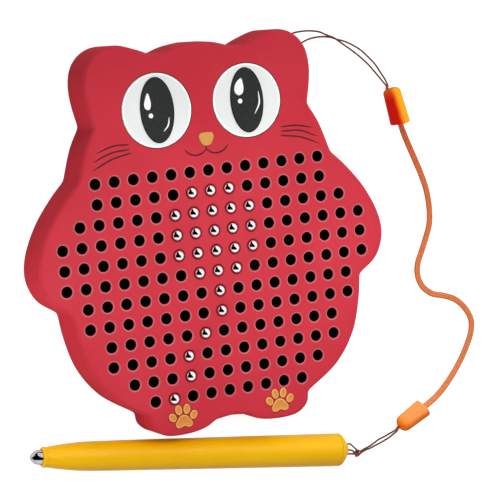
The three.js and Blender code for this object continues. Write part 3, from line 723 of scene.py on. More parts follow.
def area_lamp(name, place, target, size, power, colour=(1, 1, 1)):
    """A soft rectangular lamp that shows neither to the viewpoint nor in glossy surfaces."""
    data = bpy.data.lights.new(name, "AREA")
    data.shape, data.size, data.size_y, data.energy = "RECTANGLE", size[0], size[1], power
    data.color = colour
    lamp = placed(name, data)
    lamp.location = place
    lamp.rotation_euler = (Vector(target) - Vector(place)).to_track_quat("-Z", "Y").to_euler()
    lamp.visible_glossy = lamp.visible_camera = False


def make_lamps():
    for lamp in (
            ("overhead", (0.03, 0.008, 0.15), (0.03, 0.008, 0.0), (0.3, 0.06), 0.222),
            ("high_side", (0.15, 0.5, 0.6), (0.0, 0.0, 0.0), (0.4, 0.4), 0.3),
            ("ear_side", (0.1, 0.9, 0.2), (0.0, 0.05, 0.01), (0.4, 0.3), 2.3),
            ("foot_side", (-0.45, -0.6, 0.16), (-0.02, -0.06, 0.0), (0.3, 0.2), 1.1,
             (1.0, 0.88, 0.7)),
            ("right_side", (0.45, 0.3, 0.15), (0.0, 0.0, 0.0175), (0.2, 0.2), 0.5),
            ("left_side", (-0.22, -0.03, 0.05), (-0.06, -0.01, 0.008), (0.1, 0.05), 0.12)):
        area_lamp(*lamp)


def direct_view(tree):
    """1 for rays from the viewpoint, from a mirror or through glass, and then 1 for rays from a
    mirror."""
    seen = node(tree, "LightPath").outputs
    either = maths(tree, "MAXIMUM", seen["Is Camera Ray"], seen["Is Glossy Ray"])
    return maths(tree, "MAXIMUM", either, seen["Is Transmission Ray"]), seen["Is Glossy Ray"]


def part_along(tree, direction, way):
    both = {0: direction, 1: way}
    return node(tree, "VectorMath", both, operation="DOT_PRODUCT").outputs["Value"]


def ball_view(tree, direction):
    """Where a mirror ball, seen from the viewpoint, shows a direction: right and up from the ball's
    middle in shares of its radius. Each is the direction's part along that way over the root of
    twice one more than its part along the way back to the viewpoint."""
    right, up, back = (part_along(tree, direction, way) for way in (
        (0.9055, -0.0956, 0.4135), (0.1298, 0.99, -0.0553), (-0.4041, 0.1037, 0.9088)))
    root = maths(tree, "SQRT", maths(tree, "MULTIPLY_ADD", back, 2.0, 2.001))
    return maths(tree, "DIVIDE", right, root), maths(tree, "DIVIDE", up, root)


def dark_card(tree, direction):
    """A dark card behind the viewpoint, 1 on it and 0 off it. A mirror ball shows it with a wide
    level foot a third of its radius below the middle, narrowing upwards to a neck that leans left
    and runs to the rim."""
    right, up = ball_view(tree, direction)
    middle = maths(tree, "MULTIPLY_ADD", up, -0.25, -0.065)
    away = maths(tree, "ABSOLUTE", maths(tree, "SUBTRACT", right, middle))
    half = maths(tree, "MAXIMUM", maths(tree, "MULTIPLY_ADD", up, -0.78, 0.45), 0.2)
    edge = maths(tree, "SUBTRACT", maths(tree, "MINIMUM", half, 0.48), away)
    return maths(tree, "MULTIPLY", levels(tree, edge, -0.04, 0.04), levels(tree, up, -0.4, -0.32))


def make_world():
    """White to the eye and in metal, apart from one dark card in mirrors. The light on matt
    surfaces is stronger from the right, the ears' side and above."""
    world = bpy.data.worlds.new("studio")
    tree = bare_tree(world)
    direct, glossy = direct_view(tree)
    direction = node(tree, "TexCoord").outputs["Generated"]
    card = maths(tree, "MULTIPLY", dark_card(tree, direction), glossy)
    bright = maths(tree, "SUBTRACT", 1.0, card)
    soft = levels(tree, part_along(tree, direction, (0.62, 0.5, 0.6)), -0.8, 0.8, 0.06, 0.36)
    strength = maths(tree, "MULTIPLY", levels(tree, direct, 0.0, 1.0, soft), bright)
    sky = node(tree, "Background", {"Color": "ffffff", "Strength": strength})
    node(tree, "OutputWorld", {"Surface": sky.outputs[0]})
    bpy.context.scene.world = world


def make_floor():
    """A plain pale floor. It shines to the eye and in metal, so that it is white apart from the
    shadows."""
    material = bpy.data.materials.new("pale_floor")
    tree = bare_tree(material)
    direct, glossy = direct_view(tree)
    dimmed = maths(tree, "MULTIPLY", glossy, 0.45)
    glow = maths(tree, "SUBTRACT", maths(tree, "MULTIPLY", direct, 0.9), dimmed)
    shine = node(tree, "Emission", {"Color": "ffffff", "Strength": glow})
    matt = node(tree, "BsdfDiffuse", {"Color": (0.45, 0.45, 0.45, 1)})
    both = node(tree, "AddShader", {0: matt.outputs[0], 1: shine.outputs[0]})
    node(tree, "OutputMaterial", {"Surface": both.outputs[0]})
    reach, drop = 3.0, -0.0001
    mesh = bpy.data.meshes.new("floor")
    corners = [(x * reach, y * reach, drop) for x, y in ((-1, -1), (1, -1), (1, 1), (-1, 1))]
    mesh.from_pydata(corners, [], [(0, 1, 2, 3)])
    mesh.materials.append(material)
    placed("floor", mesh)


# ---------------------------------------------------------------- tether

def clip_axes(clip):
    """A clip is turned to its heading and rolled about its length."""
    return turned("Z", clip["heading"]) @ turned("X", clip["roll"])


def clip_place(clip):
    """From a clip's own axes to the frame. It rests on one long edge."""
    lean = math.radians(abs(clip["roll"]))
    height = (clip["width"] * math.sin(lean) + clip["thick"] * math.cos(lean)) / 2
    origin, axes = np.append(in_pitches(clip["cord_end"]), height), clip_axes(clip)
    return lambda points: origin + np.asarray(points, float) @ axes.T


def on_route(rows, thickness):
    points = in_pitches(rows)
    points[:, 2] += thickness / 2
    return points


def cord_values(path, around):
    """For each point of a swept skin, ring by ring: the angle round the cord, the length along it
    in millimetres, and the share of the whole length. The two middle points of the caps come
    last."""
    far = length_along(path)
    rows = {"round": np.tile(around, len(path)), "along": np.repeat(far, len(around)),
            "share": np.repeat(far / far[-1], len(around))}
    return {key: np.append(row, [row[0], row[-1]]) for key, row in rows.items()}


def tether_cord():
    """Twin cord: its section is two round strands that touch, drawn as two arcs, and its width is
    level along the route but turns to each clip's own width."""
    inside, outside, ease = SOCKET_DEPTH - ROPE_GAP, -SOCKET_DEPTH / 2, 14
    knots = np.vstack([
        clip_place(UPPER_CLIP)([[inside, 0, 0], [outside, 0, 0]]), on_route(CORD_ROUTE, CORD_THICK),
        clip_place(LOWER_CLIP)([[outside, 0, 0], [inside, 0, 0]])])
    path = evenly(smooth_curve(knots, 12), 420)
    radius, offset = CORD_THICK / 2, (CORD_WIDTH - CORD_THICK) / 2
    meet = math.degrees(math.acos(offset / radius))
    lobe = arc((offset, 0), radius, meet - 180, 180 - meet, 12)[:-1]
    section = np.vstack([lobe, -lobe])
    around = np.arctan2(section[:, 1], np.abs(section[:, 0]) - offset)
    share, rise = np.linspace(0, 1, len(path))[:, None], np.array([0, 0, 1])
    for clip, away in ((UPPER_CLIP, share), (LOWER_CLIP, 1 - share)):
        near, up = np.exp(-away * ease), clip_axes(clip)[:, 2]
        rise = rise * (1 - near) + up * np.sign(up[2]) * near
    skin = Skin()
    skin.closed_tube(swept(path, section, rise))
    cord = show("orange_cord", skin, [cord_yarn()], nodes=["tether_cord"], sharp=80,
                values=cord_values(path, around))


def clip_exit(clip, side):
    """Where one of the two thin strands starts in a clip's tip and leaves it beside the other."""
    across, up = np.array(clip["strands"]) + np.array(clip["pair"]) * side * JOINED / 2
    return clip_place(clip)([[clip["length"] + out, across, up] for out in (-1.0, 0.3)])


def loop_path(clip, side, way_out, turn, way_back, count):
    """From a clip's tip out to a turn about a centre, and back beside itself to the clip."""
    angle = np.radians(turn["degrees"])
    turning = at(on_circle(angle, turn["radius"], turn["centre"][:2]), turn["centre"][2])
    knots = np.vstack([
        clip_exit(clip, side), on_route(way_out, STRAND), turning, on_route(way_back, STRAND),
        clip_exit(clip, -side)[::-1]])
    return evenly(smooth_curve(knots, 12), count)


def thin_loop(name, path, node_name, body):
    """A loop of thin yarn. Its share says how near a point lies to the loop's ends in the clip."""
    skin = Skin()
    skin.closed_tube(swept(path, circle(STRAND / 2, STRAND_SIDES)))
    values = cord_values(path, round_steps(STRAND_SIDES))
    far = values["along"]
    values["share"] = np.clip(1.6 - np.minimum(far, far.max() - far) / 3, 0, 1)
    loop = show(name, skin, [STRAND_YARN], body=body, nodes=[node_name], sharp=80,
                values=values)
    return loop


def board_loop():
    """The thin loop from the upper clip into the ear, once round the screw post, and back to the
    clip."""
    path = loop_path(UPPER_CLIP, 1, BOARD_LOOP_OUT, BOARD_TURN, BOARD_LOOP_BACK, 420)
    thin_loop("ear_loop", path, "board_loop", "board")


def pen_loop():
    """The thin loop from the lower clip to the knot and back."""
    path = loop_path(LOWER_CLIP, -1, PEN_LOOP_OUT, PEN_TURN, PEN_LOOP_BACK, 200)
    loop = thin_loop("tip_loop", path, "pen_loop", None)
    tip = clip_place(LOWER_CLIP)([[LOWER_CLIP["length"] + ROPE_GAP, 0, 0]])[0]
    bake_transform(loop)


def pen_hitch():
    """The strands from the knot into the eyelets of the pen's end plug. The knot is a ball of
    crossing turns: its three coordinates are waves of different pace."""
    knot = on_route([KNOT], STRAND)[0]
    section, around = circle(STRAND / 2, STRAND_SIDES), round_steps(STRAND_SIDES)
    skin, rows = Skin(), []
    for across, way in HITCH_WAYS:
        inside = pen_place([[PEN_LENGTH + out, across, 0] for out in (0.3, -0.5, -2.4)])
        knots = np.vstack([knot + [0, 0, 0.1], on_route(way, STRAND), inside])
        path = evenly(smooth_curve(knots, 10), 40)
        skin.closed_tube(swept(path, section))
        rows.append(cord_values(path, around))
    values = {key: np.concatenate([row[key] for row in rows]) for key in rows[0]}
    show("hitch", skin, [STRAND_YARN], body="pen", nodes=["pen_hitch"], sharp=80,
         values=values)
    wind = np.linspace(0, 2 * math.pi * 3, 110)
    ball = np.stack([0.7 * np.cos(wind / 3 * 2), 0.8 * np.sin(wind), 0.6 * np.cos(wind + 0.6)], 1)
    path = knot + ball @ turned("Z", 20).T + [0.1, 0.0, 0.5]
    skin = Skin()
    skin.closed_tube(swept(path, section, rise=(0.3, 0.2, 0.93)))
    show("hitch_knot", skin, [knot_yarn()], body="pen_loop", sharp=80,
         values=cord_values(path, around))


def clip_shape(name, clip, node_name, plastic):
    """Rounded rectangles along the clip's length, whose half width and half thickness shrink by
    quarter circles towards the tip and, much less, towards the cord's end, which has a socket for
    the cord; the socket's inside takes painted shade. The value "wide" is the sine of the angle at
    which a point of a ring faces: 0 on the narrow sides and 1 on the upper wide face. It falls
    towards the tip, and a little towards the narrow side that looks up. It mixes the plastic's
    painted light and shade."""
    count, corner, edge = 48, 1.7, 0.6
    length, width, thick = clip["length"], clip["width"], clip["thick"]
    tip_radius, lip = clip["rounding"]
    angle = round_steps(count)
    along = np.concatenate([
        edge * (1 - np.cos(np.linspace(0, math.pi / 2, 5))),
        np.linspace(edge, length - tip_radius, 7)[1:-1],
        length - tip_radius + tip_radius * np.sin(np.linspace(0, math.pi / 2 * 0.94, 11))])

    def drawn_in(radius, reach):
        reach = np.clip(reach, 0, radius)
        return radius - np.sqrt(radius**2 - reach**2)

    start = drawn_in(edge, edge - along)
    half_width = (width + along / length * (clip["tip"] - width)) / 2 - start
    half_width = half_width - drawn_in(tip_radius, along - (length - tip_radius))
    half_thick = thick / 2 - start - drawn_in(lip, along - (length - lip))
    round_off = np.minimum(corner, np.minimum(half_width, half_thick) * 0.95)[:, None]
    y = (half_width[:, None] - round_off) * np.sign(np.cos(angle)) + round_off * np.cos(angle)
    z = (half_thick[:, None] - round_off) * np.sign(np.sin(angle)) + round_off * np.sin(angle)
    skin = Skin()
    rings = skin.tube(np.stack([np.broadcast_to(along[:, None], y.shape), y, z], 2))
    socket = [CORD_WIDTH / 2 + 0.25, CORD_THICK / 2 + 0.3]
    hole = np.column_stack([np.zeros(count), circle(1, count) * socket])
    mouth, bottom = skin.ring(hole), skin.ring(hole + [SOCKET_DEPTH, 0, 0])
    skin.band(rings[0], mouth)
    skin.band(mouth, bottom, 1)
    skin.cap(bottom, 1)
    skin.cap(rings[-1])
    least = clip["tip_share"]
    fade = least + (1 - least) * np.clip((length - 0.8 - along) / 2.6, 0, 1)[:, None]
    middle, slope = clip["lean"]
    lean = middle - slope * math.copysign(1, clip["roll"]) * y / half_width[:, None]
    wide = (fade * lean * np.clip(np.sin(angle), 0, 1)).ravel()
    wide = np.append(wide, np.zeros(skin.size - len(wide)))
    show(name, skin, [plastic, CLIP_SOCKET_SHADE], nodes=[node_name], sharp=35,
         place=clip_place(clip), values={"wide": wide})


# ---------------------------------------------------------------- pen

def pen_place(points):
    """From the pen's own axes, with its length from the nose along X, to the frame. The pen lies on
    the straight cone between its shoulder and its end."""
    height = PEN_END_RADIUS + (PEN_LENGTH - PEN_SEAM) * PEN_SLOPE
    tilt = turned("Y", -math.degrees(PEN_TILT))
    local = (np.asarray(points, float) - [PEN_LENGTH, 0, 0]) @ tilt.T
    origin = np.append(in_pitches(PEN_END), height * math.cos(PEN_TILT))
    return local @ turned("Z", PEN_HEADING).T + origin


def cone_radius(along):
    return PEN_END_RADIUS - (PEN_SEAM - along) * PEN_SLOPE


def stretched(shares, start, end):
    """Places given as shares of the way from one (along, radius) pair to another."""
    return np.array(start) + np.array(shares) * (np.array(end) - np.array(start))


def pen_barrel():
    """The barrel: a rounded collar, a long curve out to the shoulder, and a straight cone to the
    seam."""
    front, lip, edge = PEN_NOSE_LENGTH, PEN_LIP_RADIUS, PEN_SEAM_ROUNDING
    taper, seam, collar = front + PEN_LIP_LENGTH, PEN_SEAM - PEN_SEAM_GAP, 0.85
    knots = np.vstack([
        [taper + 0.2, lip - 0.15],
        stretched(PEN_SWELL, [taper, lip], [PEN_SHOULDER, cone_radius(PEN_SHOULDER)]),
        [PEN_SHOULDER + 14, cone_radius(PEN_SHOULDER + 14)]])
    cone = np.linspace(40, seam - edge, 12)
    profile = np.vstack([
        [[front + 0.2, PEN_NOSE_RADIUS + 0.06], [front, PEN_NOSE_RADIUS + 0.16]],
        arc((front + collar, lip - collar), collar, 180, 90, 7), [[taper, lip]],
        smooth_curve(knots, 8), np.stack([cone, cone_radius(cone)], 1),
        arc((seam - edge, cone_radius(seam) - edge), edge, 90, 0, 5),
        [[seam, cone_radius(seam) - 1.5], [front + 16, 3.2], [front + 16, PEN_NOSE_RADIUS + 0.15]]])
    skin = Skin()
    rings = skin.tube(lathe(profile, 96))
    skin.band(rings[-1], rings[0])
    show("barrel", skin, [PEN_PLASTIC], body="pen", nodes=["pen_barrel"],
         place=pen_place)


def pen_nose():
    """The chrome nose: a small blunt point that swells to a round bullet, and the shank behind
    it."""
    shares = [
        [0, 0], [0.01, 0.1], [0.05, 0.26], [0.14, 0.45], [0.26, 0.65], [0.46, 0.88],
        [0.72, 0.985], [1, 1]]
    length, radius = PEN_NOSE_LENGTH, PEN_NOSE_RADIUS
    curve = smooth_curve(stretched(shares, [0, 0], [length, radius]), 5)
    curve[0] = 0
    skin = Skin()
    skin.tube(lathe(np.vstack([curve, [[length + 0.3, radius], [length + 0.3, radius - 0.15],
                                       [length + 6, radius - 0.15], [length + 6, 0]]]), 64))
    show("nose_bullet", skin, [nose_chrome()], body="pen", nodes=["pen_tip"],
         place=pen_place)


def fill_end_face(skin, rings):
    """Fills a face that is square to X, with the points' axes shifted round for the skin's
    plate."""
    kept = skin.points
    skin.points = [points[:, [1, 2, 0]] for points in kept]
    skin.plate(rings)
    skin.points = kept


def pen_plug():
    """The end plug: a spigot, a rounded shoulder, a bevel with a soft foot, and an end face with
    three eyelets, each a round pocket."""
    start, face, head, edge = PEN_SEAM + PEN_SEAM_GAP, PEN_LENGTH, PEN_END_RADIUS, PEN_SEAM_ROUNDING
    bevel = stretched(PLUG_CURVE, [start, PLUG_END_RADIUS], [face, head])
    profile = np.vstack([
        [[start - 8, 0], [start - 8, 4.0], [start, 4.0], [start, head - edge]],
        arc((start + edge, head - edge), edge, 180, 90, 5), smooth_curve(bevel, 6),
        [[face, PLUG_END_RADIUS - 0.25]]])
    skin, sides = Skin(), 20
    rims = [skin.tube(lathe(profile, 96))[-1]]
    for across in (-1.8, 0.0, 1.8):
        mouth, inner = (
            skin.ring(np.column_stack([np.full(sides, x), circle(0.5, sides, (across, 0.0))]))
            for x in (face, face - 3.2))
        skin.band(mouth, inner, 1)
        skin.cap(inner, 1)
        rims.append(mouth)
    fill_end_face(skin, rims)
    # The eyelets' pockets take painted shade.
    show("end_plug", skin, [PEN_PLASTIC, pen_pocket_shade()], body="pen",
         nodes=["pen_end_plug"], place=pen_place)


# ---------------------------------------------------------------- board

def hole_places():
    places = []
    for row, holes in enumerate(ROW_COUNTS):
        reach = (holes - 1) // 2
        y = ((len(ROW_COUNTS) - 1) / 2 - row) * PITCH
        places += [(row, column, column * PITCH, y) for column in range(-reach, reach + 1)]
    return places


def notch_rise(line):
    """How high the wall's lower edge stands over the table. It rises by a ramp on each side of the
    notch where the thin loop comes out of the ear."""
    centre, post = in_pitches([NOTCH_PLACE, BOSSES[0]])
    out = unit([centre - post])[0]
    offset = line - centre
    sideways = np.abs(offset @ [-out[1], out[0]])
    near = np.linalg.norm(offset, axis=1) < 9
    return np.where(near, np.clip((4.4 - sideways) / 0.8, 0, 1), 0) * NOTCH_HEIGHT


def bore(skin, x, y, raised):
    """One hole of the face: a rounded rim, a short collar, and a cone that widens inwards. Gives
    its upper and its lower ring."""
    mouth = [at(circle(HOLE_RADIUS + RIM_WIDTH * (1 - math.sin(turn)), HOLE_SIDES, (x, y)),
                THICK - RIM_DEPTH * (1 - math.cos(turn)))
             for turn in np.radians([0, 20, 40, 60, 90])]
    deep = [at(circle(radius, HOLE_SIDES, (x, y)), z) for radius, z in (
        (HOLE_RADIUS + 0.03, THICK - RIM_DEPTH - 0.1), (HOLE_RADIUS + 0.14, THICK - 0.95),
        (BORE_RADIUS, THICK - FACE_PLATE))]
    # Round a raised bead the outer rim takes the painted shadow (4) and its inner part the bore
    # wall's painted shade (5); round an empty hole the whole rim takes the painted highlight (3).
    # The collar takes the bore wall's painted shade (5) and the cone the bore shadow (1).
    outer_mark, inner_mark = (4, 5) if raised else (3, 3)
    rings = skin.tube(mouth[:3], outer_mark) + skin.tube(mouth[3:], inner_mark)
    skin.band(rings[2], rings[3], inner_mark)
    rings += [skin.ring(ring) for ring in deep]
    for number, mark in ((4, 5), (5, 5), (6, 1)):
        skin.band(rings[number], rings[number + 1], mark)
    return rings[0], rings[-1]


def recess(skin, rings, marks):
    """A flat-bottomed recess of the face, ring by ring from its mouth. Gives its mouth."""
    numbers = [skin.ring(ring) for ring in rings]
    for high, low, mark in zip(numbers, numbers[1:], marks):
        skin.band(high, low, mark)
    skin.cap(numbers[-1], 1)
    return numbers[0]


def front_shell():
    """One moulding: rim, outer wall, quarter-round edge, the face plate with its holes and
    recesses, the plate's underside and the inner wall."""
    line = board_outline()
    lift = notch_rise(line)
    skin, base, under, floor = Skin(), 0.3, THICK - FACE_PLATE, THICK - 0.7
    outer = [at(inset(line, base), lift), at(inset(line, base * 0.3), lift + base * 0.3),
             at(line, lift + base)]
    outer += [at(line, lift + (THICK - EDGE_RADIUS - lift) * share) for share in (0.35, 0.7)]
    lower = skin.tube(outer, 2)
    walls = skin.tube(rounded_edge(line, EDGE_RADIUS, THICK, np.linspace(0, 90, 9))
                      + [at(inset(line, EDGE_RADIUS + 0.25), THICK)])
    skin.band(lower[-1], walls[0], 2)
    foot, head = (skin.ring(at(inset(line, WALL), height)) for height in (lift, under))
    skin.band(lower[0], foot, 2)
    skin.band(foot, head)
    holes = [bore(skin, x, y, column in RAISED[row]) for row, column, x, y in hole_places()]
    tops, bottoms = (list(rings) for rings in zip(*holes))
    for side in (-1, 1):
        centre = in_pitches([side * EYE_PLACE[0], EYE_PLACE[1]])
        tops.append(recess(skin, [at(circle(radius, 128, centre), z) for radius, z in (
            (14.1, THICK), (14.0, THICK - 0.1), (14.0, floor))], (0, 1)))
    tops.append(recess(skin, [at(nose_outline(0.12), THICK), at(nose_outline(0.1), floor)], (1,)))
    skin.plate([walls[-1]] + tops)
    skin.plate([head] + bottoms, 1)
    materials = [
        shell_plastic(), bore_shadow(), wall_plastic(), hole_rim_highlight(), bead_rim_shadow(), bore_wall_shade()]
    show("face_shell", skin, materials, nodes=["front_shell"], sharp=32)


def rear_cover():
    """A plate inside the wall with a rounded lower edge, and round each screw a sunk cup whose
    collar stands up inside."""
    line = board_outline()
    gap, edge, plate = WALL + 0.3, 0.4, 2.0
    skin = Skin()
    rim = [at(inset(line, gap + edge * (1 - math.cos(turn))), edge * (1 - math.sin(turn)))
           for turn in np.radians([90, 60, 30, 0])]
    walls = skin.tube(rim + [at(inset(line, gap), plate)])
    cup = [(3.3, 0), (3.05, 0.08), (2.9, 0.35), (2.9, 2.6), (1.45, 2.7), (1.45, 4.0), (4.0, 4.0),
           (4.0, plate)]
    cups = [skin.tube([at(circle(radius, 48, in_pitches(place)), z) for radius, z in cup])
            for place in BOSSES]
    for end in (0, -1):
        skin.plate([walls[end]] + [rings[end] for rings in cups])
    show("back_cover", skin, [cover_plastic()], nodes=["rear_cover"], sharp=32)


def cover_screws():
    """Pan-head screws. The head is a low dome less a cross-shaped pocket, whose depth falls off
    away from the nearer arm's middle line."""
    sides, head_radius, steel = 72, 2.6, screw_steel()
    radii = np.concatenate([np.linspace(0.02, 1.75, 22), np.linspace(1.8, head_radius, 8)])
    radius, turn = np.meshgrid(radii, round_steps(sides), indexing="ij")
    x, y = radius * np.cos(turn), radius * np.sin(turn)
    arm = np.clip((0.42 - np.minimum(np.abs(x), np.abs(y))) / 0.16, 0, 1)
    pocket = arm * np.clip((1.65 - radius) / 0.3, 0, 1) * (0.9 - 0.2 * radius)
    dome = 1.0 + 0.75 * (radius / head_radius) ** 4 * 0.9
    shank = [at(circle(r, sides), z)
             for r, z in ((head_radius, 2.55), (1.15, 2.6), (1.15, 11.5), (0.4, 12.6))]
    for number, place in enumerate(BOSSES, 1):
        skin = Skin()
        skin.closed_tube([*np.stack([x, y, dome + pocket], 2), *shank])
        centre = np.append(in_pitches(place), 0)
        show(f"screw_{number}", skin, [steel], nodes=[f"cover_screw_{number}"],
             sharp=35, place=lambda points, centre=centre: points + centre)


def disc(name, outline, heights, materials, nodes=(), edge=0.12, marks=(0, 0)):
    """A thin flat piece from an outline, with an upright side and a rounded rim."""
    low, high = heights
    skin = Skin()
    numbers = skin.tube([at(outline, low), at(outline, high - edge)]
                        + rounded_edge(outline, edge, high, [30, 60, 90]), marks[1])
    inner = skin.ring(at(inset(outline, edge * 3), high))
    skin.band(numbers[-1], inner, marks[1])
    skin.cap(inner, marks[0])
    skin.cap(numbers[0], marks[1])
    show(name, skin, materials, nodes=nodes, sharp=50)


def ink_line(skin, points, width, top, ends=(0.15, 0.15)):
    """A printed line: a flat low ridge along a smooth curve. Its width grows from each end, over
    the given shares of its length, as the square root of the distance."""
    path = at(evenly(smooth_curve(in_pitches(points), 8), 40), THICK)
    share = np.linspace(0, 1, len(path))
    grow = np.sqrt(np.clip(np.minimum(share / ends[0], (1 - share) / ends[1]), 0.02, 1))
    half = width * PITCH / 2 * grow[:, None, None]
    section = np.array([[1, -0.02], [0.85, top], [-0.85, top], [-1, -0.02]])
    skin.closed_tube(swept(path, section[None] * np.concatenate([half, np.ones_like(half)], 2)))


def eyes():
    """White discs let into the plate, whose sides and rims carry a painted highlight, grainy oval
    pupils on them, and printed glints.
    """
    glints = {
        "left": {"drop": [[-2.83, 9.58], [-2.75, 9.32], [-2.73, 9.02], [-2.79, 8.82], [-2.91, 8.77],
                          [-3.04, 8.86], [-3.08, 9.06], [-3.0, 9.32], [-2.9, 9.55]],
                 "dot": [-2.78, 8.48], "arc": [[-1.83, 8.32], [-1.93, 7.92], [-2.18, 7.65]]},
        "right": {"drop": [[2.19, 9.82], [2.26, 9.55], [2.27, 9.27], [2.18, 9.06], [2.0, 9.0],
                           [1.83, 9.1], [1.78, 9.32], [1.9, 9.62]],
                  "dot": [2.03, 8.7], "arc": [[3.06, 9.1], [3.05, 8.5], [2.75, 7.98]]},
    }
    white, grit, rim, print_and_highlight = eye_plastic(), pupil_grit(), pupil_rim(), glint_print_and_rim_highlight()
    for side, (word, marks) in zip((-1, 1), glints.items()):
        outline = circle(13.72, 128, in_pitches([side * EYE_PLACE[0], EYE_PLACE[1]]))
        # The disc's side and rounded rim take the whiter paint, a painted highlight.
        disc(f"eye_{word}", outline, (THICK - 0.6, THICK + 0.1), [white, print_and_highlight],
             nodes=[f"eye_white_{word}"], edge=0.25, marks=(0, 1))
        outline = oval([6.7, 12.15], 0, 128, in_pitches([side * 2.41, 8.72]))
        disc(f"iris_{word}", outline, (THICK + 0.1, THICK + 0.42), [grit, rim],
             nodes=[f"pupil_{word}"], edge=0.14, marks=(0, 1))
        drop = closed_curve(in_pitches(marks["drop"][::-1]), 6)
        dot = circle(0.12 * PITCH, 28, in_pitches(marks["dot"]))
        skin, top = Skin(), THICK + GLINT_TOP
        for shape in (drop, dot):
            skin.closed_tube([
                at(shape, top - 0.08), at(shape, top - 0.02), at(inset(shape, 0.03), top)])
        ink_line(skin, marks["arc"], 0.09, GLINT_TOP, ends=(0.4, 0.4))
        show(f"glint_{word}", skin, [print_and_highlight], sharp=50)


def nose_outline(grow):
    shares = np.array([
        [0, -1], [0.42, -0.88], [0.75, -0.45], [0.98, 0.3], [0.86, 0.86], [0.5, 1], [0, 1]])
    left = shares[1:-1][::-1] * [-1, 1]
    half = np.array([3.0 + grow, 2.5 + grow])
    return closed_curve(np.vstack([shares, left]) * half + in_pitches([0.05, 7.04]), 6)


def nose():
    """A shield with a low dome: each ring is the outline shrunk to a share of its size, and the
    height rises as one less the square of the share."""
    line = nose_outline(0)
    middle = line.mean(0)
    skin = Skin()
    skin.closed_tube([at(line, THICK - 0.6), at(line, THICK + 0.12)] + [
        at(middle + (line - middle) * share, THICK + 0.2 + 0.3 * (1 - share**2))
        for share in (0.95, 0.88, 0.75, 0.55, 0.3)])
    show("muzzle", skin, [nose_plastic()], nodes=["nose"], sharp=50)


def printed_lines():
    """Whiskers and mouth, printed on the face."""
    whiskers = [
        [[4.12, 7.19], [5.0, 7.17], [5.89, 6.97]], [[4.09, 6.97], [5.17, 6.9], [6.1, 6.5]],
        [[4.05, 6.77], [5.17, 6.57], [6.21, 6.11]], [[-4.03, 7.21], [-4.87, 7.23], [-5.78, 6.97]],
        [[-4.03, 6.98], [-5.0, 6.91], [-6.01, 6.55]], [[-3.95, 6.8], [-5.0, 6.6], [-6.12, 6.13]],
    ]
    mouth = [[-1.18, 6.65], [-0.95, 6.42], [-0.6, 6.3], [-0.25, 6.36], [-0.03, 6.53]]
    width, skin = 0.088, Skin()
    for line in whiskers:
        ink_line(skin, line, width, 0.03, ends=(0.12, 0.3))
    ink_line(skin, mouth, width, 0.03)
    ink_line(skin, [[-x, y] for x, y in mouth], width, 0.034)
    ink_line(skin, [[0, 6.45], [0, 6.72]], 0.07, 0.038)
    show("whiskers", skin, [whisker_ink()], sharp=50)


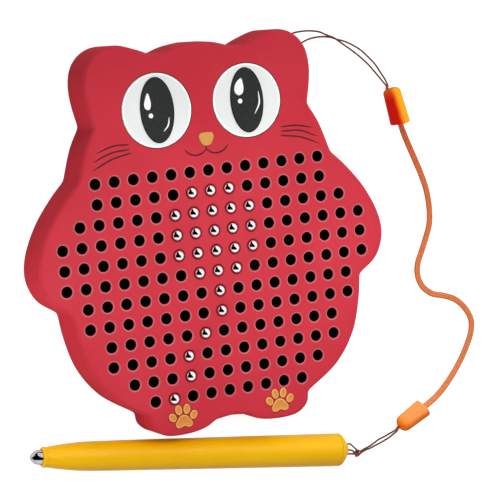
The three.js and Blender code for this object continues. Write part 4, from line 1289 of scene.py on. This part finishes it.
def paws():
    """Moulded paw prints: each pad is a raised rim round a lower middle, with a dark edge at its
    foot that is a painted shadow. The rim is painted paler than the middle, a painted highlight.
    The broad pad is narrow above and ends below in two lobes."""
    pad = np.array([
        [0, 1.0], [-0.42, 0.82], [-0.72, 0.3], [-0.98, -0.25], [-0.88, -0.82], [-0.5, -0.98],
        [0, -0.72], [0.5, -0.98], [0.88, -0.82], [0.98, -0.25], [0.72, 0.3], [0.42, 0.82]])
    toes = [((2.08, -6.42), (0.19, 0.24), 35), ((2.42, -6.09), (0.19, 0.26), 10),
            ((2.86, -6.09), (0.19, 0.26), -10), ((3.21, -6.42), (0.19, 0.24), -35)]
    rings = [((-0.25, -0.1), (-0.25, 0.02), (0.05, 0.06)), ((0.1, 0.3), (0.25, 0.4)),
             ((0.5, 0.38), (0.75, 0.26))]
    # Middle in tan, rim with painted highlight, foot edge with painted shadow.
    materials = [tan_plastic(), tan_rim_highlight(), paw_edge_shadow()]
    for side, word in ((-1, "left"), (1, "right")):
        skin = Skin()
        middle = in_pitches([side * 2.63, -6.68])
        shapes = [closed_curve(pad * [0.47 * PITCH, 0.33 * PITCH] + middle, 5)]
        shapes += [oval(in_pitches(half), side * turn, 36, in_pitches([side * x, y]))
                   for (x, y), half, turn in toes]
        for shape in shapes:
            foot, walls, inner = (
                skin.tube([at(inset(shape, drawn), THICK + high) for drawn, high in group], mark)
                for group, mark in zip(rings, (2, 1, 0)))
            skin.band(foot[-1], walls[0], 1)
            skin.band(walls[-1], inner[0], 1)
            skin.cap(inner[-1])
            skin.cap(foot[0], 2)
        show(f"paw_{word}", skin, materials)


def ball(centre, rings, sides):
    """A bead as rings from pole to pole."""
    return [at(circle(BEAD_RADIUS * math.sin(a), sides), -BEAD_RADIUS * math.cos(a)) + centre
            for a in np.linspace(0, math.pi, rings + 1)]


def beads():
    """Each raised bead and each of the bottom row rides on its own body. The others are one
    piece."""
    steel, lowered = ball_steel(), Skin()
    for row, column, x, y in hole_places():
        up = column in RAISED[row]
        centre = [x, y, THICK - BEAD_SUNK - (0 if up else BEAD_TRAVEL)]
        if up or row == len(ROW_COUNTS) - 1:
            word = f"r{row + 1:02d}_c{column + 9:02d}"
            skin, bead = Skin(), "bead_" + word
            skin.tube(ball(centre, 18, 28))
            show("ball_" + word, skin, [steel], body=bead, nodes=[bead])
        else:
            lowered.tube(ball(centre, 5, 8))
    show("balls_lowered", lowered, [steel], sharp=80)


def dress(node_name, material):
    """Gives a CAD node that stays visible its finish."""
    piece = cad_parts[node_name]
    piece.data.materials.clear()
    piece.data.materials.append(material)


STRAND_YARN = strand_yarn()
CLIP_SOCKET_SHADE = clip_socket_shade()
PEN_PLASTIC = pen_plastic()

make_camera()
make_world()
make_lamps()
make_floor()
# The clips' tones are painted light and shade, and their glow is painted light.
clip_shape("clip_upper", UPPER_CLIP, "cord_clip_upper",
           clip_plastic("clip_upper_painted_light", ("ff9c10", "ffb024"), "dc0c02", "6c2408", 0.1))
clip_shape("clip_lower", LOWER_CLIP, "cord_clip_lower",
           clip_plastic("clip_lower_painted_light", ("f47000", "fa7c04"), "f8a058", "a8641c", 0.06))
for make in (pen_hitch, tether_cord, board_loop, pen_loop, pen_barrel, pen_nose, pen_plug,
             front_shell, rear_cover, cover_screws, eyes, nose, printed_lines, paws, beads):
    make()
dress("bead_tray", tray_plastic())
dress("pen_magnet", magnet_grey())

bpy.context.scene.view_settings.view_transform = "Standard"
